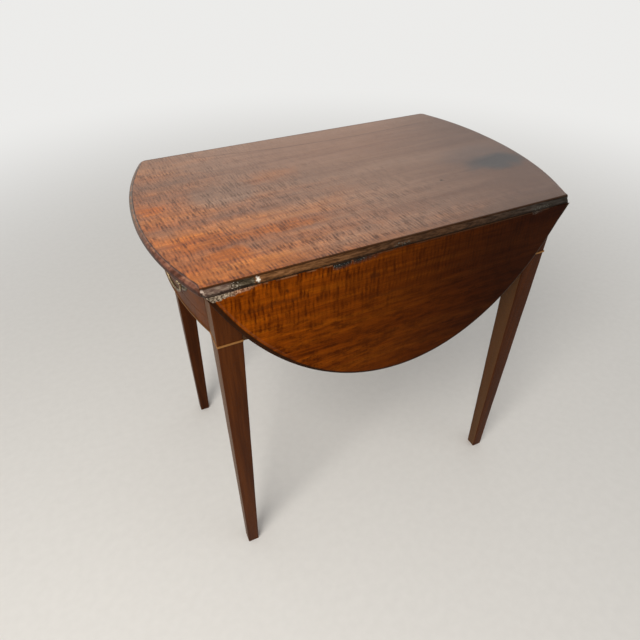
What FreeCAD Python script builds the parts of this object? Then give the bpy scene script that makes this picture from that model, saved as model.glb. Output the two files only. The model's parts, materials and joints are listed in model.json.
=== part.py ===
import FreeCAD, Part
import os
import re
import Sketcher

# Pembroke table: an oval top in three boards, two of them drop leaves on rule joints, over a frame of
# four square tapered legs with one drawer in its bowed end.
# X runs along the hinge lines, with the drawer at the -X end. Y runs across, with the near leaf at -Y.
# Z is up from the floor, and the origin lies on the floor under the middle of the top.
# The leaves hang and the drawer is shut.

SIZES = {
    # the top, as the open oval, and the rule joint along each of its two hinge lines
    "table_height": 710,
    "oval_half_length": 363,
    "oval_half_width": 462,
    "end_nosing": 8,
    "joint_line": 224,
    "axis_rise": 4,
    "ovolo_radius": 8,
    "rule_fillet": 2.2,
    "rule_gap": 0.4,
    "arris_round": 6,
    "under_round": 4,
    # a hanging leaf leans out by this many degrees
    "leaf_lean": 5.5,
    # legs: how far the top and the hinge line stand out over them, square above the collar, taper below it
    "corner_overhang": 6.5,
    "leaf_clearance": 4,
    "leg_square": 40,
    "frieze_depth": 100.8,
    "foot_square": 22.5,
    "foot_kick": 6,
    "foot_tuck": 3,
    "foot_chamfer": 1.5,
    # boxwood string, let into the legs as a collar and along the foot of each bowed end
    "string_height": 3,
    "string_depth": 2.5,
    "string_proud": 1,
    # rails of the frame
    "side_rail_thick": 20,
    "tenon_length": 18,
    "tenon_thick": 8,
    "tenon_shoulder": 12,
    "tenon_setback": 8,
    "mortice_spare": 1,
    "crown_overhang": 24,
    "end_rail_width": 36,
    "end_tenon_thick": 12,
    "lower_rail_height": 27,
    "lower_tenon_shoulder": 5,
    "upper_rail_height": 11.8,
    "scribe_width": 1,
    "scribe_depth": 0.8,
    # fly rail outside each side rail, with a bracket that swings on a wooden knuckle joint
    "fly_thick": 19,
    "fly_block_length": 161,
    "bracket_length": 235,
    "bracket_sweep": 115,
    "bracket_nose": 42,
    "bracket_sweep_radius": 170,
    "fly_gap": 0.6,
    "fly_end_gap": 1.5,
    "knuckle_gap": 0.5,
    "fly_pin_radius": 2.5,
    "running_gap": 0.05,
    # drawer and what it runs in
    "drawer_gap": 0.7,
    "drawer_side_gap": 1,
    "drawer_run_gap": 0.3,
    "drawer_front_thick": 20,
    "drawer_land": 30,
    "drawer_side_thick": 9,
    "drawer_side_drop": 1.5,
    "drawer_back_room": 25,
    "drawer_back_thick": 8,
    "drawer_back_drop": 5,
    "dovetail_lap": 13,
    "dovetail_flare": 2.5,
    "bottom_thick": 6,
    "bottom_rise": 7,
    "bottom_groove": 4,
    "bottom_spare": 0.4,
    "runner_width": 25,
    "runner_height": 14,
    "stop_height": 4,
    "stop_length": 14,
    "stop_width": 16,
    "stop_gap": 0.3,
    # iron table hinges of the leaves
    "hinge_inset": 101,
    "hinge_width": 36,
    "hinge_thick": 2,
    "hinge_top_reach": 30,
    "hinge_leaf_reach": 46,
    "hinge_knuckle_radius": 3.6,
    "hinge_knuckle_notch": 5.2,
    "hinge_knuckle_gap": 0.3,
    "hinge_pin_radius": 1.75,
    "hinge_room": 0.6,
    "hinge_leaf_room": 0.4,
    # countersunk iron screws of the hinges, and longer ones that hold the top down through the kickers
    "screw_head_radius": 3.2,
    "screw_shank_radius": 1.6,
    "screw_gap": 0.05,
    "hinge_screw_length": 11,
    "hinge_screw_spread": 10,
    "hinge_top_screw_reach": 20,
    "hinge_leaf_screw_reach": 34,
    "top_screw_length": 18,
    "top_screw_inset": 86,
    # brass handles
    "handle_inset": 85,
    "plate_half_width": 35,
    "plate_half_height": 22,
    "plate_thick": 1.5,
    "plate_gap": 0.2,
    "post_half_spacing": 22,
    "post_rise": 4,
    "post_stand": 7.5,
    "post_shank_radius": 2.2,
    "post_shank_length": 27,
    "post_collar_radius": 4,
    "post_collar_thick": 1.5,
    "post_neck_radius": 2.6,
    "post_head_radius": 4.2,
    "post_hole_gap": 0.1,
    "bail_radius": 1.9,
    "bail_corner_radius": 16,
    "bail_pin_radius": 1.4,
    "bail_pin_reach": 2.2,
    "bail_eye_radius": 2.6,
    "bail_eye_length": 4,
    "bail_eye_gap": 0.4,
    "nut_half_width": 5,
    "nut_thick": 3,
    "nut_gap": 0.1,
    # how far a cut runs past the wood
    "overrun": 5,
}

# Where the two dovetails lie, as shares of the height that they are cut in.
DOVETAIL_SHARES = ((0.1, 0.42), (0.58, 0.9))
# The bail's corner arcs turn this share of a quarter turn before its long bottom arc takes over.
BAIL_CORNER_SHARE = 2 / 3
KNUCKLES = 5
HINGE_KNUCKLES = 3
NEAR_AND_FAR = {"near": -1, "far": 1}
DRAWER_AND_BLIND = {"drawer": -1, "blind": 1}

# Sizes and places that follow from the sizes above and that many pieces share.
SUMS = {
    "underside": "table_height - axis_rise - ovolo_radius - rule_fillet",
    "axis_height": "underside + axis_rise",
    "collar_foot": "underside - frieze_depth",
    "half_chord": "oval_half_length * sqrt(1 - (joint_line / oval_half_width) ^ 2)",
    "leg_end_face": "half_chord - corner_overhang",
    "leg_side_face": "joint_line - leaf_clearance",
    "inner_end": "leg_end_face - leg_square",
    "inner_side": "leg_side_face - leg_square",
    "rail_face": "inner_side + side_rail_thick",
    "rail_back": "leg_end_face - end_rail_width",
    "bow_crown": "oval_half_length - crown_overhang",
    "bow_rise": "bow_crown - leg_end_face",
    "bow_radius": "(inner_side ^ 2 + bow_rise ^ 2) / (2 * bow_rise)",
    "fly_middle": "rail_face + fly_thick / 2",
    "fly_pivot": "inner_end - fly_block_length",
    "opening_foot": "collar_foot + lower_rail_height",
    "opening_head": "underside - upper_rail_height",
    "drawer_back_end": "rail_back - drawer_back_room",
    "hinge_spacing": "half_chord - hinge_inset",
    "hinge_segment": f"hinge_width / {HINGE_KNUCKLES}",
    "top_screw_spacing": "inner_end - top_screw_inset",
    "handle_offset": "inner_side - handle_inset",
    "handle_height": "(opening_foot + opening_head) / 2",
}

doc = FreeCAD.newDocument("pembroke_table")
sheet = doc.addObject("Spreadsheet::Sheet", "Sizes")
for row, (name, number) in enumerate(SIZES.items(), start=1):
    sheet.set(f"A{row}", name)
    sheet.set(f"B{row}", str(number))
    sheet.setAlias(f"B{row}", name)
doc.recompute()
sums = doc.addObject("App::VarSet", "Sums")
nodes = []


def bound(text):
    """The same sum, with each name pointing at its cell in the sheet or at its own sum."""
    def owner(word):
        name = word[0]
        if name in SIZES:
            return f"{sheet.Name}.{name}"
        return f"{sums.Name}.{name}" if name in SUMS else name
    return re.sub(r"[a-z_]+", owner, str(text))


def value(text):
    """What a sum of named sizes comes to."""
    result = sheet.evalExpression(bound(text))
    return float(getattr(result, "Value", result))


for name, text in SUMS.items():
    sums.addProperty("App::PropertyFloat", name)
    sums.setExpression(name, bound(text))
doc.recompute()


def times(sign, text):
    """A sum turned to the side that the sign gives."""
    return f"{sign} * ({text})"


def bind(piece, **sums):
    """Tie a piece's properties to sums of named sizes."""
    for name, text in sums.items():
        piece.setExpression(name, bound(text))
    return piece


def place(piece, at, axis=None, angle=None):
    """Put a piece at a spot, turned about an axis by an angle in degrees."""
    if axis:
        rotation = FreeCAD.Rotation(FreeCAD.Vector(*axis), value(angle))
        piece.Placement = FreeCAD.Placement(FreeCAD.Vector(), rotation)
        piece.setExpression("Placement.Rotation.Angle", bound(angle))
    for letter, text in zip("xyz", at):
        piece.setExpression(f"Placement.Base.{letter}", bound(text))
    return piece


def keep(label, piece):
    """Make this piece a named sub-part of the table."""
    piece.Label = label
    nodes.append(piece)
    return piece


def group(pieces):
    """Several separate solids that make one sub-part."""
    together = doc.addObject("Part::Compound", "group")
    together.Links = pieces
    return together


def cut(base, tools):
    """A piece with the tools' shapes cut out of it."""
    doc.recompute()
    result = doc.addObject("Part::Cut", "cut")
    result.Base = base
    result.Tool = group(tools)
    doc.recompute()
    if result.Shape.Volume >= base.Shape.Volume:
        raise ValueError(f"nothing was cut from {base.Name}")
    return result


def new_body(name):
    """An empty body for one piece."""
    return doc.addObject("PartDesign::Body", name)


def flat_sketch(body, plane, level="0"):
    """An empty sketch on one of the body's own planes, moved along the plane's normal."""
    sketch = body.newObject("Sketcher::SketchObject", f"{body.Name}_sketch")
    support = next(item for item in body.Origin.OriginFeatures if item.Role == f"{plane}_Plane")
    sketch.AttachmentSupport = [(support, "")]
    sketch.MapMode = "FlatFace"
    sketch.setExpression("AttachmentOffset.Base.z", bound(level))
    return sketch


def fix(sketch, kind, text, *ends):
    """A dimension of a sketch, tied to a sum of named sizes."""
    number = sketch.addConstraint(Sketcher.Constraint(kind, *ends, value(text)))
    sketch.setExpression(f"Constraints[{number}]", bound(text))


def pin_point(sketch, number, end, across, up):
    """Hold one point of a sketch at its distances from the origin."""
    fix(sketch, "DistanceX", across, -1, 1, number, end)
    fix(sketch, "DistanceY", up, -1, 1, number, end)


def arc_between(begin, end, radius, towards):
    """The arc of under half a circle from one point to another that bulges towards a third."""
    middle = (begin + end) * 0.5
    chord = end - begin
    out = FreeCAD.Vector(-chord.y, chord.x, 0).normalize()
    if out.dot(towards - middle) < 0:
        out = out * -1
    rise = radius - max(radius ** 2 - chord.Length ** 2 / 4, 0) ** 0.5
    return Part.Arc(begin, middle + out * rise, end)


def outline(sketch, points, closed=True):
    """A line through the points. A point that also has a radius and a third point starts an arc."""
    spots = [FreeCAD.Vector(value(point[0]), value(point[1]), 0) for point in points]
    count = len(points) if closed else len(points) - 1
    last_end = None
    first = None
    for index in range(count):
        begin = spots[index]
        end = spots[(index + 1) % len(points)]
        if len(points[index]) == 2:
            number = sketch.addGeometry(Part.LineSegment(begin, end))
        else:
            towards = FreeCAD.Vector(*map(value, points[index][3]), 0)
            arc = arc_between(begin, end, value(points[index][2]), towards)
            number = sketch.addGeometry(arc)
            fix(sketch, "Radius", points[index][2], number)
        ends = (1, 2) if sketch.getPoint(number, 1).isEqual(begin, 1e-6) else (2, 1)
        pin_point(sketch, number, ends[0], *points[index][:2])
        if last_end:
            sketch.addConstraint(Sketcher.Constraint("Coincident", *last_end, number, ends[0]))
        last_end = (number, ends[1])
        first = first or (number, ends[0])
    if closed:
        sketch.addConstraint(Sketcher.Constraint("Coincident", *last_end, *first))
    else:
        pin_point(sketch, *last_end, *points[-1])


def circle(sketch, centre, radius):
    """A circle in a sketch."""
    middle = FreeCAD.Vector(*map(value, centre), 0)
    number = sketch.addGeometry(Part.Circle(middle, FreeCAD.Vector(0, 0, 1), value(radius)))
    pin_point(sketch, number, 3, *centre)
    fix(sketch, "Radius", radius, number)


def ellipse(sketch, centre, half_width, half_length, start):
    """An ellipse in a sketch, its longer axis upright, with its outline starting at one end of that axis."""
    middle = FreeCAD.Vector(*map(value, centre), 0)
    along = FreeCAD.Vector(0, start * value(half_width), 0)
    across = FreeCAD.Vector(value(half_length), 0, 0)
    number = sketch.addGeometry(Part.Ellipse(middle + along, middle + across, middle))
    sketch.exposeInternalGeometry(number)
    pin_point(sketch, number, 3, *centre)
    sketch.addConstraint(Sketcher.Constraint("Vertical", number + 1))
    fix(sketch, "Distance", f"2 * ({half_width})", number + 1)
    fix(sketch, "Distance", f"2 * ({half_length})", number + 2)


def draw(sketch, loops):
    """Fill a sketch: a loop is a list of points, or the name of a curve with its sizes."""
    for loop in loops:
        if loop[0] == "circle":
            circle(sketch, *loop[1:])
        elif loop[0] == "ellipse":
            ellipse(sketch, *loop[1:])
        else:
            outline(sketch, loop)


def pad(body, plane, loops, low, high):
    """Solid wood or metal with this outline, from one level to another along the plane's axis."""
    level = low if plane != "XZ" else times(-1, high)
    sketch = flat_sketch(body, plane, level)
    draw(sketch, loops)
    feature = body.newObject("PartDesign::Pad", f"{body.Name}_pad")
    feature.Profile = sketch
    bind(feature, Length=f"({high}) - ({low})")
    body.Tip = feature
    return body


def pocket(body, plane, loops, low, high):
    """Cut this outline out of a body, from one level to another along the plane's axis."""
    doc.recompute()
    before = body.Shape.Volume
    level = high if plane != "XZ" else times(-1, low)
    sketch = flat_sketch(body, plane, level)
    draw(sketch, loops)
    feature = body.newObject("PartDesign::Pocket", f"{body.Name}_pocket")
    feature.Profile = sketch
    bind(feature, Length=f"({high}) - ({low})")
    body.Tip = feature
    doc.recompute()
    if body.Shape.Volume >= before:
        raise ValueError(f"nothing was cut from {body.Name}")
    return body


def ease(body, edges, radius):
    """Round some edges of a body as it stands."""
    base = body.Tip
    feature = body.newObject("PartDesign::Fillet", f"{body.Name}_round")
    feature.Base = (base, edges)
    bind(feature, Radius=radius)
    body.Tip = feature
    doc.recompute()
    return body


def edges_at(body, level):
    """The names of a body's edges that lie flat at one height."""
    height = value(level)
    boxes = [edge.BoundBox for edge in body.Shape.Edges]
    return [f"Edge{number}" for number, box in enumerate(boxes, start=1)
            if max(abs(box.ZMin - height), abs(box.ZMax - height)) < 1e-4]


def screws(spots, length, gap="0"):
    """Countersunk screws pointing up, each with the flat of its head at a spot."""
    head = f"screw_head_radius + {gap}"
    shank = f"screw_shank_radius + {gap}"
    section = [("0", "0"), (head, "0"), (shank, "screw_head_radius - screw_shank_radius"),
               (shank, f"{length} + {gap}"), ("0", f"{length} + {gap}")]
    return [place(turn(new_body("screw"), section), spot) for spot in spots]


def turn(body, points):
    """A turned solid: a half section, drawn on the XZ plane, spun round the upright axis."""
    sketch = flat_sketch(body, "XZ")
    outline(sketch, points)
    feature = body.newObject("PartDesign::Revolution", f"{body.Name}_turning")
    feature.Profile = sketch
    feature.ReferenceAxis = (sketch, ["V_Axis"])
    feature.Angle = 360
    body.Tip = feature
    return body


def rectangle(low, high):
    """The corners of a rectangle between two opposite corners."""
    return [low, (high[0], low[1]), high, (low[0], high[1])]


def box_body(name, low, high):
    """A squared piece of wood between two opposite corners."""
    return pad(new_body(name), "XY", [rectangle(low[:2], high[:2])], low[2], high[2])


def bow(across, inset="0"):
    """How far along X the bowed end stands at a distance across, set back by an inset."""
    return f"(sqrt((bow_radius - ({inset})) ^ 2 - ({across}) ^ 2) - bow_radius + bow_crown)"


def bow_strip(end, across, outside, inside):
    """A bowed strip between two insets from the face of an end, as wide as twice the distance across."""
    def corner(side, inset):
        return times(end, bow(across, inset)), times(side, across)
    crown = (times(end, "bow_crown + overrun"), "0")
    return [(*corner(-1, outside), f"bow_radius - ({outside})", crown),
            corner(1, outside),
            (*corner(1, inside), f"bow_radius - ({inside})", crown),
            corner(-1, inside)]


def bowed_rail(end):
    """A rail's outline from above: the bow in front and straight at the back."""
    face = times(end, bow("inner_side"))
    back = times(end, "rail_back")
    return [(face, times(-1, "inner_side"), "bow_radius", (times(end, "bow_crown + overrun"), "0")),
            (face, "inner_side"),
            (back, "inner_side"),
            (back, times(-1, "inner_side"))]


def oval_board(name, middle, low, high, start=1, nosing="0"):
    """The whole open oval in one thickness, with its edge rounded, before a rule joint is worked.

    Its outline starts at the end that is cut away. A nosing makes the oval longer, and a little rounder.
    """
    oval = ("ellipse", ("0", middle), f"(oval_half_width - {nosing})", f"(oval_half_length + {nosing})", start)
    body = pad(new_body(name), "XY", [oval], low, high)
    doc.recompute()
    ease(body, edges_at(body, high), "arris_round")
    return ease(body, edges_at(body, low), "under_round")


def top_board():
    """The fixed board: nosed ends, and both long edges worked to a fillet and an ovolo about the hinge lines."""
    board = oval_board("top_blank", "0", "underside", "table_height", nosing="end_nosing")
    foot = "(joint_line + sqrt(ovolo_radius ^ 2 - axis_rise ^ 2))"
    waste = []
    for side in NEAR_AND_FAR.values():
        fillet = times(side, "joint_line")
        edge = times(side, "oval_half_width + overrun")
        shoulder = "axis_height + ovolo_radius"
        waste.append([
            (fillet, "table_height + overrun"),
            (fillet, shoulder, "ovolo_radius", (times(side, "joint_line + ovolo_radius"), shoulder)),
            (times(side, foot), "underside"),
            (times(side, foot), "underside - overrun"),
            (edge, "underside - overrun"),
            (edge, "table_height + overrun")])
    pocket(board, "YZ", waste, "-oval_half_length - overrun", "oval_half_length + overrun")
    half_seat = "(hinge_width / 2 + hinge_leaf_room)"
    for side in NEAR_AND_FAR.values():
        for step in (-1, 0, 1):
            middle = times(step, "hinge_spacing")
            pocket(board, "YZ", [hinge_seat(side)], f"{middle} - {half_seat}", f"{middle} + {half_seat}")
        spots = hinge_screw_spots(times(side, "joint_line - hinge_top_screw_reach"), "underside")
        pocket(board, "XY", screw_holes(spots), "underside - overrun",
               "underside + hinge_screw_length + screw_gap")
    pocket(board, "XY", screw_holes(top_screw_spots()), "underside - overrun",
           "opening_head + top_screw_length + screw_gap")
    keep("top_board", board)


def hinge_screw_spots(across, level):
    """Where the screws of one leaf's three hinges go: two to a plate."""
    return [(f"{step} * hinge_spacing + {sign} * hinge_screw_spread", across, level)
            for step in (-1, 0, 1) for sign in (-1, 1)]


def top_screw_spots(sides=(-1, 1)):
    """Where the screws go up through the kickers into the top: three to a kicker."""
    return [(f"{step} * top_screw_spacing", times(side, "inner_side - runner_width / 2"), "opening_head")
            for side in sides for step in (-1, 0, 1)]


def screw_holes(spots):
    """Holes in the wood for the shanks of screws, whose heads lie in what they hold."""
    return [("circle", spot[:2], "screw_shank_radius + screw_gap") for spot in spots]


def hinge_seat(side):
    """A hinge's seat in the top board, seen from its end: for its plate, its knuckle and the leaf's plate."""
    knuckle = "hinge_knuckle_radius + hinge_room"
    plate_top = "underside + hinge_thick"
    line = "joint_line"
    return [
        (times(side, f"{line} - hinge_top_reach"), "underside - overrun"),
        (times(side, f"{line} - hinge_top_reach"), plate_top),
        (times(side, f"{line} - hinge_knuckle_notch"), plate_top),
        (times(side, f"{line} - hinge_knuckle_notch"), f"axis_height + {knuckle}"),
        (times(side, f"{line} + hinge_knuckle_notch"), f"axis_height + {knuckle}"),
        (times(side, f"{line} + hinge_knuckle_notch"), f"{plate_top} + hinge_leaf_room"),
        (times(side, f"{line} + ovolo_radius + rule_gap"), f"{plate_top} + hinge_leaf_room"),
        (times(side, f"{line} + ovolo_radius + rule_gap"), "underside - overrun")]


def leaf(name, side):
    """A drop leaf: its hinged edge is worked to a cove that turns round the top's ovolo, with a thin lip.

    It is drawn level about its hinge line, and then hangs from it.
    """
    face = "ovolo_radius + rule_fillet"
    board = oval_board(f"{name}_blank", times(-side, "joint_line"), "-axis_rise", face, -side)
    cove = "(ovolo_radius + rule_gap)"
    lip = times(side, "rule_gap")
    lip_height = f"sqrt({cove} ^ 2 - rule_gap ^ 2)"
    foot = times(side, f"sqrt({cove} ^ 2 - axis_rise ^ 2)")
    beyond = times(-side, "oval_half_width + joint_line + overrun")
    waste = [
        (lip, f"{face} + overrun"),
        (lip, lip_height, cove, (times(side, cove), cove)),
        (foot, "-axis_rise"),
        (foot, "-axis_rise - overrun"),
        (beyond, "-axis_rise - overrun"),
        (beyond, f"{face} + overrun")]
    pocket(board, "YZ", [waste], "-oval_half_length - overrun", "oval_half_length + overrun")
    seats = []
    for step in (-1, 0, 1):
        middle = times(step, "hinge_spacing")
        seats.append(rectangle((f"{middle} - hinge_width / 2", times(side, "hinge_knuckle_notch")),
                               (f"{middle} + hinge_width / 2", times(side, "hinge_leaf_reach"))))
    pocket(board, "XY", seats, "-axis_rise - overrun", "hinge_thick - axis_rise")
    spots = hinge_screw_spots(times(side, "hinge_leaf_screw_reach"), "-axis_rise")
    pocket(board, "XY", screw_holes(spots), "-axis_rise - overrun",
           "hinge_screw_length + screw_gap - axis_rise")
    keep(f"{name}_leaf", hang(board, side))
    keep(f"{name}_hinge_leaf_screws", hang(group(screws(spots, "hinge_screw_length")), side))


def hang(piece, side):
    """Turn a leaf's piece from level to hanging about its hinge line."""
    return place(piece, ("0", times(side, "joint_line"), "axis_height"), (-side, 0, 0), "90 - leaf_lean")


def hinge_plate(middle, knuckles, plan):
    """One plate of a table hinge with its knuckles, bored for the pin, about the pin's own line."""
    plate = pad(new_body("hinge_plate"), "XY", [plan], "-axis_rise", "hinge_thick - axis_rise")
    barrel = ("circle", ("0", "0"), "hinge_knuckle_radius")
    for low, high in knuckles:
        pad(plate, "YZ", [barrel], f"{middle} + {low}", f"{middle} + {high}")
    bore = ("circle", ("0", "0"), "hinge_pin_radius + running_gap")
    return pocket(plate, "YZ", [bore], f"{middle} - hinge_width", f"{middle} + hinge_width")


def hinges(name, side):
    """Three table hinges: plates under the top, longer plates under the leaf, and the pins."""
    half = "hinge_width / 2"
    inner = "hinge_segment / 2"
    outer = "(hinge_segment / 2 + hinge_knuckle_gap)"
    notch = "hinge_knuckle_notch"
    top_plates = []
    leaf_plates = []
    pins = []
    for step in (-1, 0, 1):
        middle = times(step, "hinge_spacing")

        def plan(points):
            return [(f"{middle} + {along}", times(side, across)) for along, across in points]
        top_plan = plan([(f"-{half}", "0"), (f"-{outer}", "0"), (f"-{outer}", f"-{notch}"),
                         (outer, f"-{notch}"), (outer, "0"), (half, "0"),
                         (half, "-hinge_top_reach"), (f"-{half}", "-hinge_top_reach")])
        leaf_plan = plan([(f"-{inner}", "0"), (inner, "0"), (inner, notch), (half, notch),
                          (half, "hinge_leaf_reach"), (f"-{half}", "hinge_leaf_reach"),
                          (f"-{half}", notch), (f"-{inner}", notch)])
        top_plates.append(hinge_plate(middle, [(f"-{half}", f"-{outer}"), (outer, half)], top_plan))
        leaf_plates.append(hinge_plate(middle, [(f"-{inner}", inner)], leaf_plan))
        pins.append(pad(new_body("hinge_pin"), "YZ", [("circle", ("0", "0"), "hinge_pin_radius")],
                        f"{middle} - {half}", f"{middle} + {half}"))
    seat = ("0", times(side, "joint_line"), "axis_height")
    top_spots = hinge_screw_spots(times(side, "-hinge_top_screw_reach"), "-axis_rise")
    leaf_spots = hinge_screw_spots(times(side, "hinge_leaf_screw_reach"), "-axis_rise")
    top_holes = screws(top_spots, "hinge_screw_length", "screw_gap")
    leaf_holes = screws(leaf_spots, "hinge_screw_length", "screw_gap")
    keep(f"{name}_hinge_top_plates", place(cut(group(top_plates), top_holes), seat))
    keep(f"{name}_hinge_top_screws", place(group(screws(top_spots, "hinge_screw_length")), seat))
    keep(f"{name}_hinge_leaf_plates", hang(cut(group(leaf_plates), leaf_holes), side))
    keep(f"{name}_hinge_pins", place(group(pins), seat))


def leg(end_name, end, side_name, side):
    """A square leg: its block holds the rails' tenons, and below the collar it tapers to the foot."""
    def corners(face_x, face_y, square):
        return rectangle((times(end, face_x), times(side, face_y)),
                         (times(end, f"{face_x} - {square}"), times(side, f"{face_y} - {square}")))
    body = new_body(f"leg_{end_name}_{side_name}")
    foot_end = "leg_end_face + foot_kick"
    foot_side = "leg_side_face - foot_tuck"
    tread = corners(f"{foot_end} - foot_chamfer", f"{foot_side} - foot_chamfer",
                    "(foot_square - 2 * foot_chamfer)")
    foot = corners(foot_end, foot_side, "foot_square")
    shoulder = corners("leg_end_face", "leg_side_face", "leg_square")
    sections = []
    for level, square in (("0", tread), ("foot_chamfer", foot), ("collar_foot", shoulder)):
        sections.append(flat_sketch(body, "XY", level))
        outline(sections[-1], square)
    taper = body.newObject("PartDesign::AdditiveLoft", f"{body.Name}_taper")
    taper.Profile = sections[0]
    taper.Sections = sections[1:]
    taper.Ruled = True
    body.Tip = taper
    pad(body, "XY", [shoulder], "collar_foot", "underside")
    pocket(body, "XY", [collar_outline(end, side, "overrun")], "collar_foot", "collar_foot + string_height")
    low, high = side_tenon_heights()
    side_mortice = rectangle((times(end, "inner_end - overrun"), times(side, side_tenon_face("0"))),
                             (times(end, "inner_end + tenon_length + mortice_spare"),
                              times(side, side_tenon_face("tenon_thick"))))
    pocket(body, "XY", [side_mortice], low, high)
    end_mortice = end_tenon(end, side, "inner_side - overrun", "mortice_spare")
    if end_name == "drawer":
        pocket(body, "XY", [end_mortice], "collar_foot + lower_tenon_shoulder",
               "opening_foot - lower_tenon_shoulder")
        pocket(body, "XY", [end_mortice], "opening_head", "underside + overrun")
    else:
        pocket(body, "XY", [end_mortice], low, high)
    keep(f"leg_{end_name}_{side_name}", body)
    collar = pad(new_body("collar"), "XY", [collar_outline(end, side, "string_proud")],
                 "collar_foot", "collar_foot + string_height")
    keep(f"collar_{end_name}_{side_name}", collar)


def collar_outline(end, side, proud):
    """The collar string from above: an L round a leg's two outer faces."""
    def point(back_x, back_y):
        return times(end, f"leg_end_face + ({back_x})"), times(side, f"leg_side_face + ({back_y})")
    return [point(proud, proud), point(proud, "-leg_square"), point("-string_depth", "-leg_square"),
            point("-string_depth", "-string_depth"), point("-leg_square", "-string_depth"),
            point("-leg_square", proud)]


def side_tenon_heights():
    """A deep rail's tenon stops short of the rail's edges."""
    return "collar_foot + tenon_shoulder", "underside - tenon_shoulder"


def side_tenon_face(further):
    """How far across a side rail's tenon lies in the middle of the rail's thickness."""
    return f"inner_side + (side_rail_thick - tenon_thick) / 2 + {further}"


def end_tenon(end, side, start, spare):
    """An end rail's tenon from above, from a start line into the leg."""
    outer = times(end, "leg_end_face - tenon_setback")
    inner = times(end, "leg_end_face - tenon_setback - end_tenon_thick")
    return rectangle((outer, times(side, start)),
                     (inner, times(side, f"inner_side + tenon_length + {spare}")))


def side_rail(name, side):
    """The fixed rail along one side, tenoned into the legs, its inner face guiding the drawer."""
    body = box_body(f"{name}_rail", (times(-1, "inner_end"), times(side, "inner_side"), "collar_foot"),
                    ("inner_end", times(side, "rail_face"), "underside"))
    low, high = side_tenon_heights()
    tongue = rectangle(("-inner_end - tenon_length", times(side, side_tenon_face("0"))),
                       ("inner_end + tenon_length", times(side, side_tenon_face("tenon_thick"))))
    pad(body, "XY", [tongue], low, high)
    keep(f"{name}_side_rail", body)


def knuckle_end(side, body_end, way):
    """A fly rail piece from above: square at one end, and round at the end on the pivot."""
    half = "fly_thick / 2"
    pivot = "-fly_pivot"
    inside = times(side, "rail_face")
    outside = times(side, "rail_face + fly_thick")
    tip = f"{pivot} + {way} * {half}"
    middle = times(side, "fly_middle")
    return [(body_end, inside), (pivot, inside, half, (tip, inside)), (tip, middle, half, (tip, outside)),
            (pivot, outside), (body_end, outside)]


def fly_rail(name, side):
    """The fly rail: a fixed block and a bracket with interleaved knuckles on a pin, and an end block."""
    inside = times(side, "rail_face")
    outside = times(side, "rail_face + fly_thick")
    middle = times(side, "fly_middle")
    pivot = ("-fly_pivot", middle)
    free_end = "(bracket_length - fly_pivot)"
    head = "(underside - fly_gap)"
    knuckle = f"(({head} - collar_foot) / {KNUCKLES})"
    room = [("circle", pivot, "fly_thick / 2 + knuckle_gap")]
    bore = [("circle", pivot, "fly_pin_radius + running_gap")]
    foot = "collar_foot"
    block = pad(new_body("fly_block"), "XY", [knuckle_end(side, times(-1, "inner_end"), 1)], foot, head)
    bracket = pad(new_body("fly_bracket"), "XY", [knuckle_end(side, free_end, -1)], foot, head)
    for level in range(KNUCKLES):
        low = foot if level == 0 else f"{foot} + {level} * {knuckle} - knuckle_gap / 2"
        high = head if level == KNUCKLES - 1 else f"{foot} + {level + 1} * {knuckle} + knuckle_gap / 2"
        pocket(block if level % 2 else bracket, "XY", room, low, high)
    for piece in (block, bracket):
        pocket(piece, "XY", bore, foot, head)
    sweep = [(f"{free_end} - bracket_sweep", f"{foot} - overrun"),
             (f"{free_end} - bracket_sweep", foot, "bracket_sweep_radius", (free_end, foot)),
             (free_end, f"{head} - bracket_nose"),
             (f"{free_end} + overrun", f"{head} - bracket_nose"),
             (f"{free_end} + overrun", f"{foot} - overrun")]
    faces = sorted((inside, outside), key=value)
    pocket(bracket, "XZ", [sweep], f"{faces[0]} - overrun", f"{faces[1]} + overrun")
    end_block = box_body("fly_end", (f"{free_end} + fly_end_gap", inside, foot), ("inner_end", outside, head))
    pin = pad(new_body("fly_pin"), "XY", [("circle", pivot, "fly_pin_radius")], foot, head)
    keep(f"{name}_fly_block", block)
    keep(f"{name}_fly_bracket", bracket)
    keep(f"{name}_fly_end_block", end_block)
    keep(f"{name}_fly_pin", pin)


def end_frame():
    """The bowed rails of both ends, with the string along their foot."""
    ends = DRAWER_AND_BLIND
    lower = pad(new_body("lower_rail"), "XY", [bowed_rail(ends["drawer"])], "collar_foot", "opening_foot")
    upper = pad(new_body("upper_rail"), "XY", [bowed_rail(ends["drawer"])], "opening_head", "underside")
    blind = pad(new_body("blind_rail"), "XY", [bowed_rail(ends["blind"])], "collar_foot", "underside")
    low, high = side_tenon_heights()
    add_end_tenons(lower, ends["drawer"], "collar_foot + lower_tenon_shoulder",
                   "opening_foot - lower_tenon_shoulder")
    add_end_tenons(upper, ends["drawer"], "opening_head", "underside")
    add_end_tenons(blind, ends["blind"], low, high)
    for rail, (name, end) in zip((lower, blind), ends.items()):
        heights = ("collar_foot", "collar_foot + string_height")
        pocket(rail, "XY", [bow_strip(end, "inner_side", "-overrun", "string_depth")], *heights)
        string = pad(new_body("end_string"), "XY",
                     [bow_strip(end, "inner_side", "-string_proud", "string_depth")], *heights)
        keep(f"{name}_end_string", string)
    scribe = bow_strip(ends["blind"], "inner_side", "-overrun", "scribe_depth")
    for foot in ("opening_foot - scribe_width / 2", "opening_head - scribe_width / 2"):
        pocket(blind, "XY", [scribe], foot, f"{foot} + scribe_width")
    keep("lower_drawer_rail", lower)
    keep("upper_drawer_rail", upper)
    keep("blind_end_rail", cut(blind, [tool for side in NEAR_AND_FAR.values()
                                       for tool in post_bores(ends["blind"], side, "post_shank_length")]))


def add_end_tenons(rail, end, low, high):
    """A tenon at each end of an end rail."""
    for side in NEAR_AND_FAR.values():
        pad(rail, "XY", [end_tenon(end, side, "inner_side - tenon_length", "0")], low, high)


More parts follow.
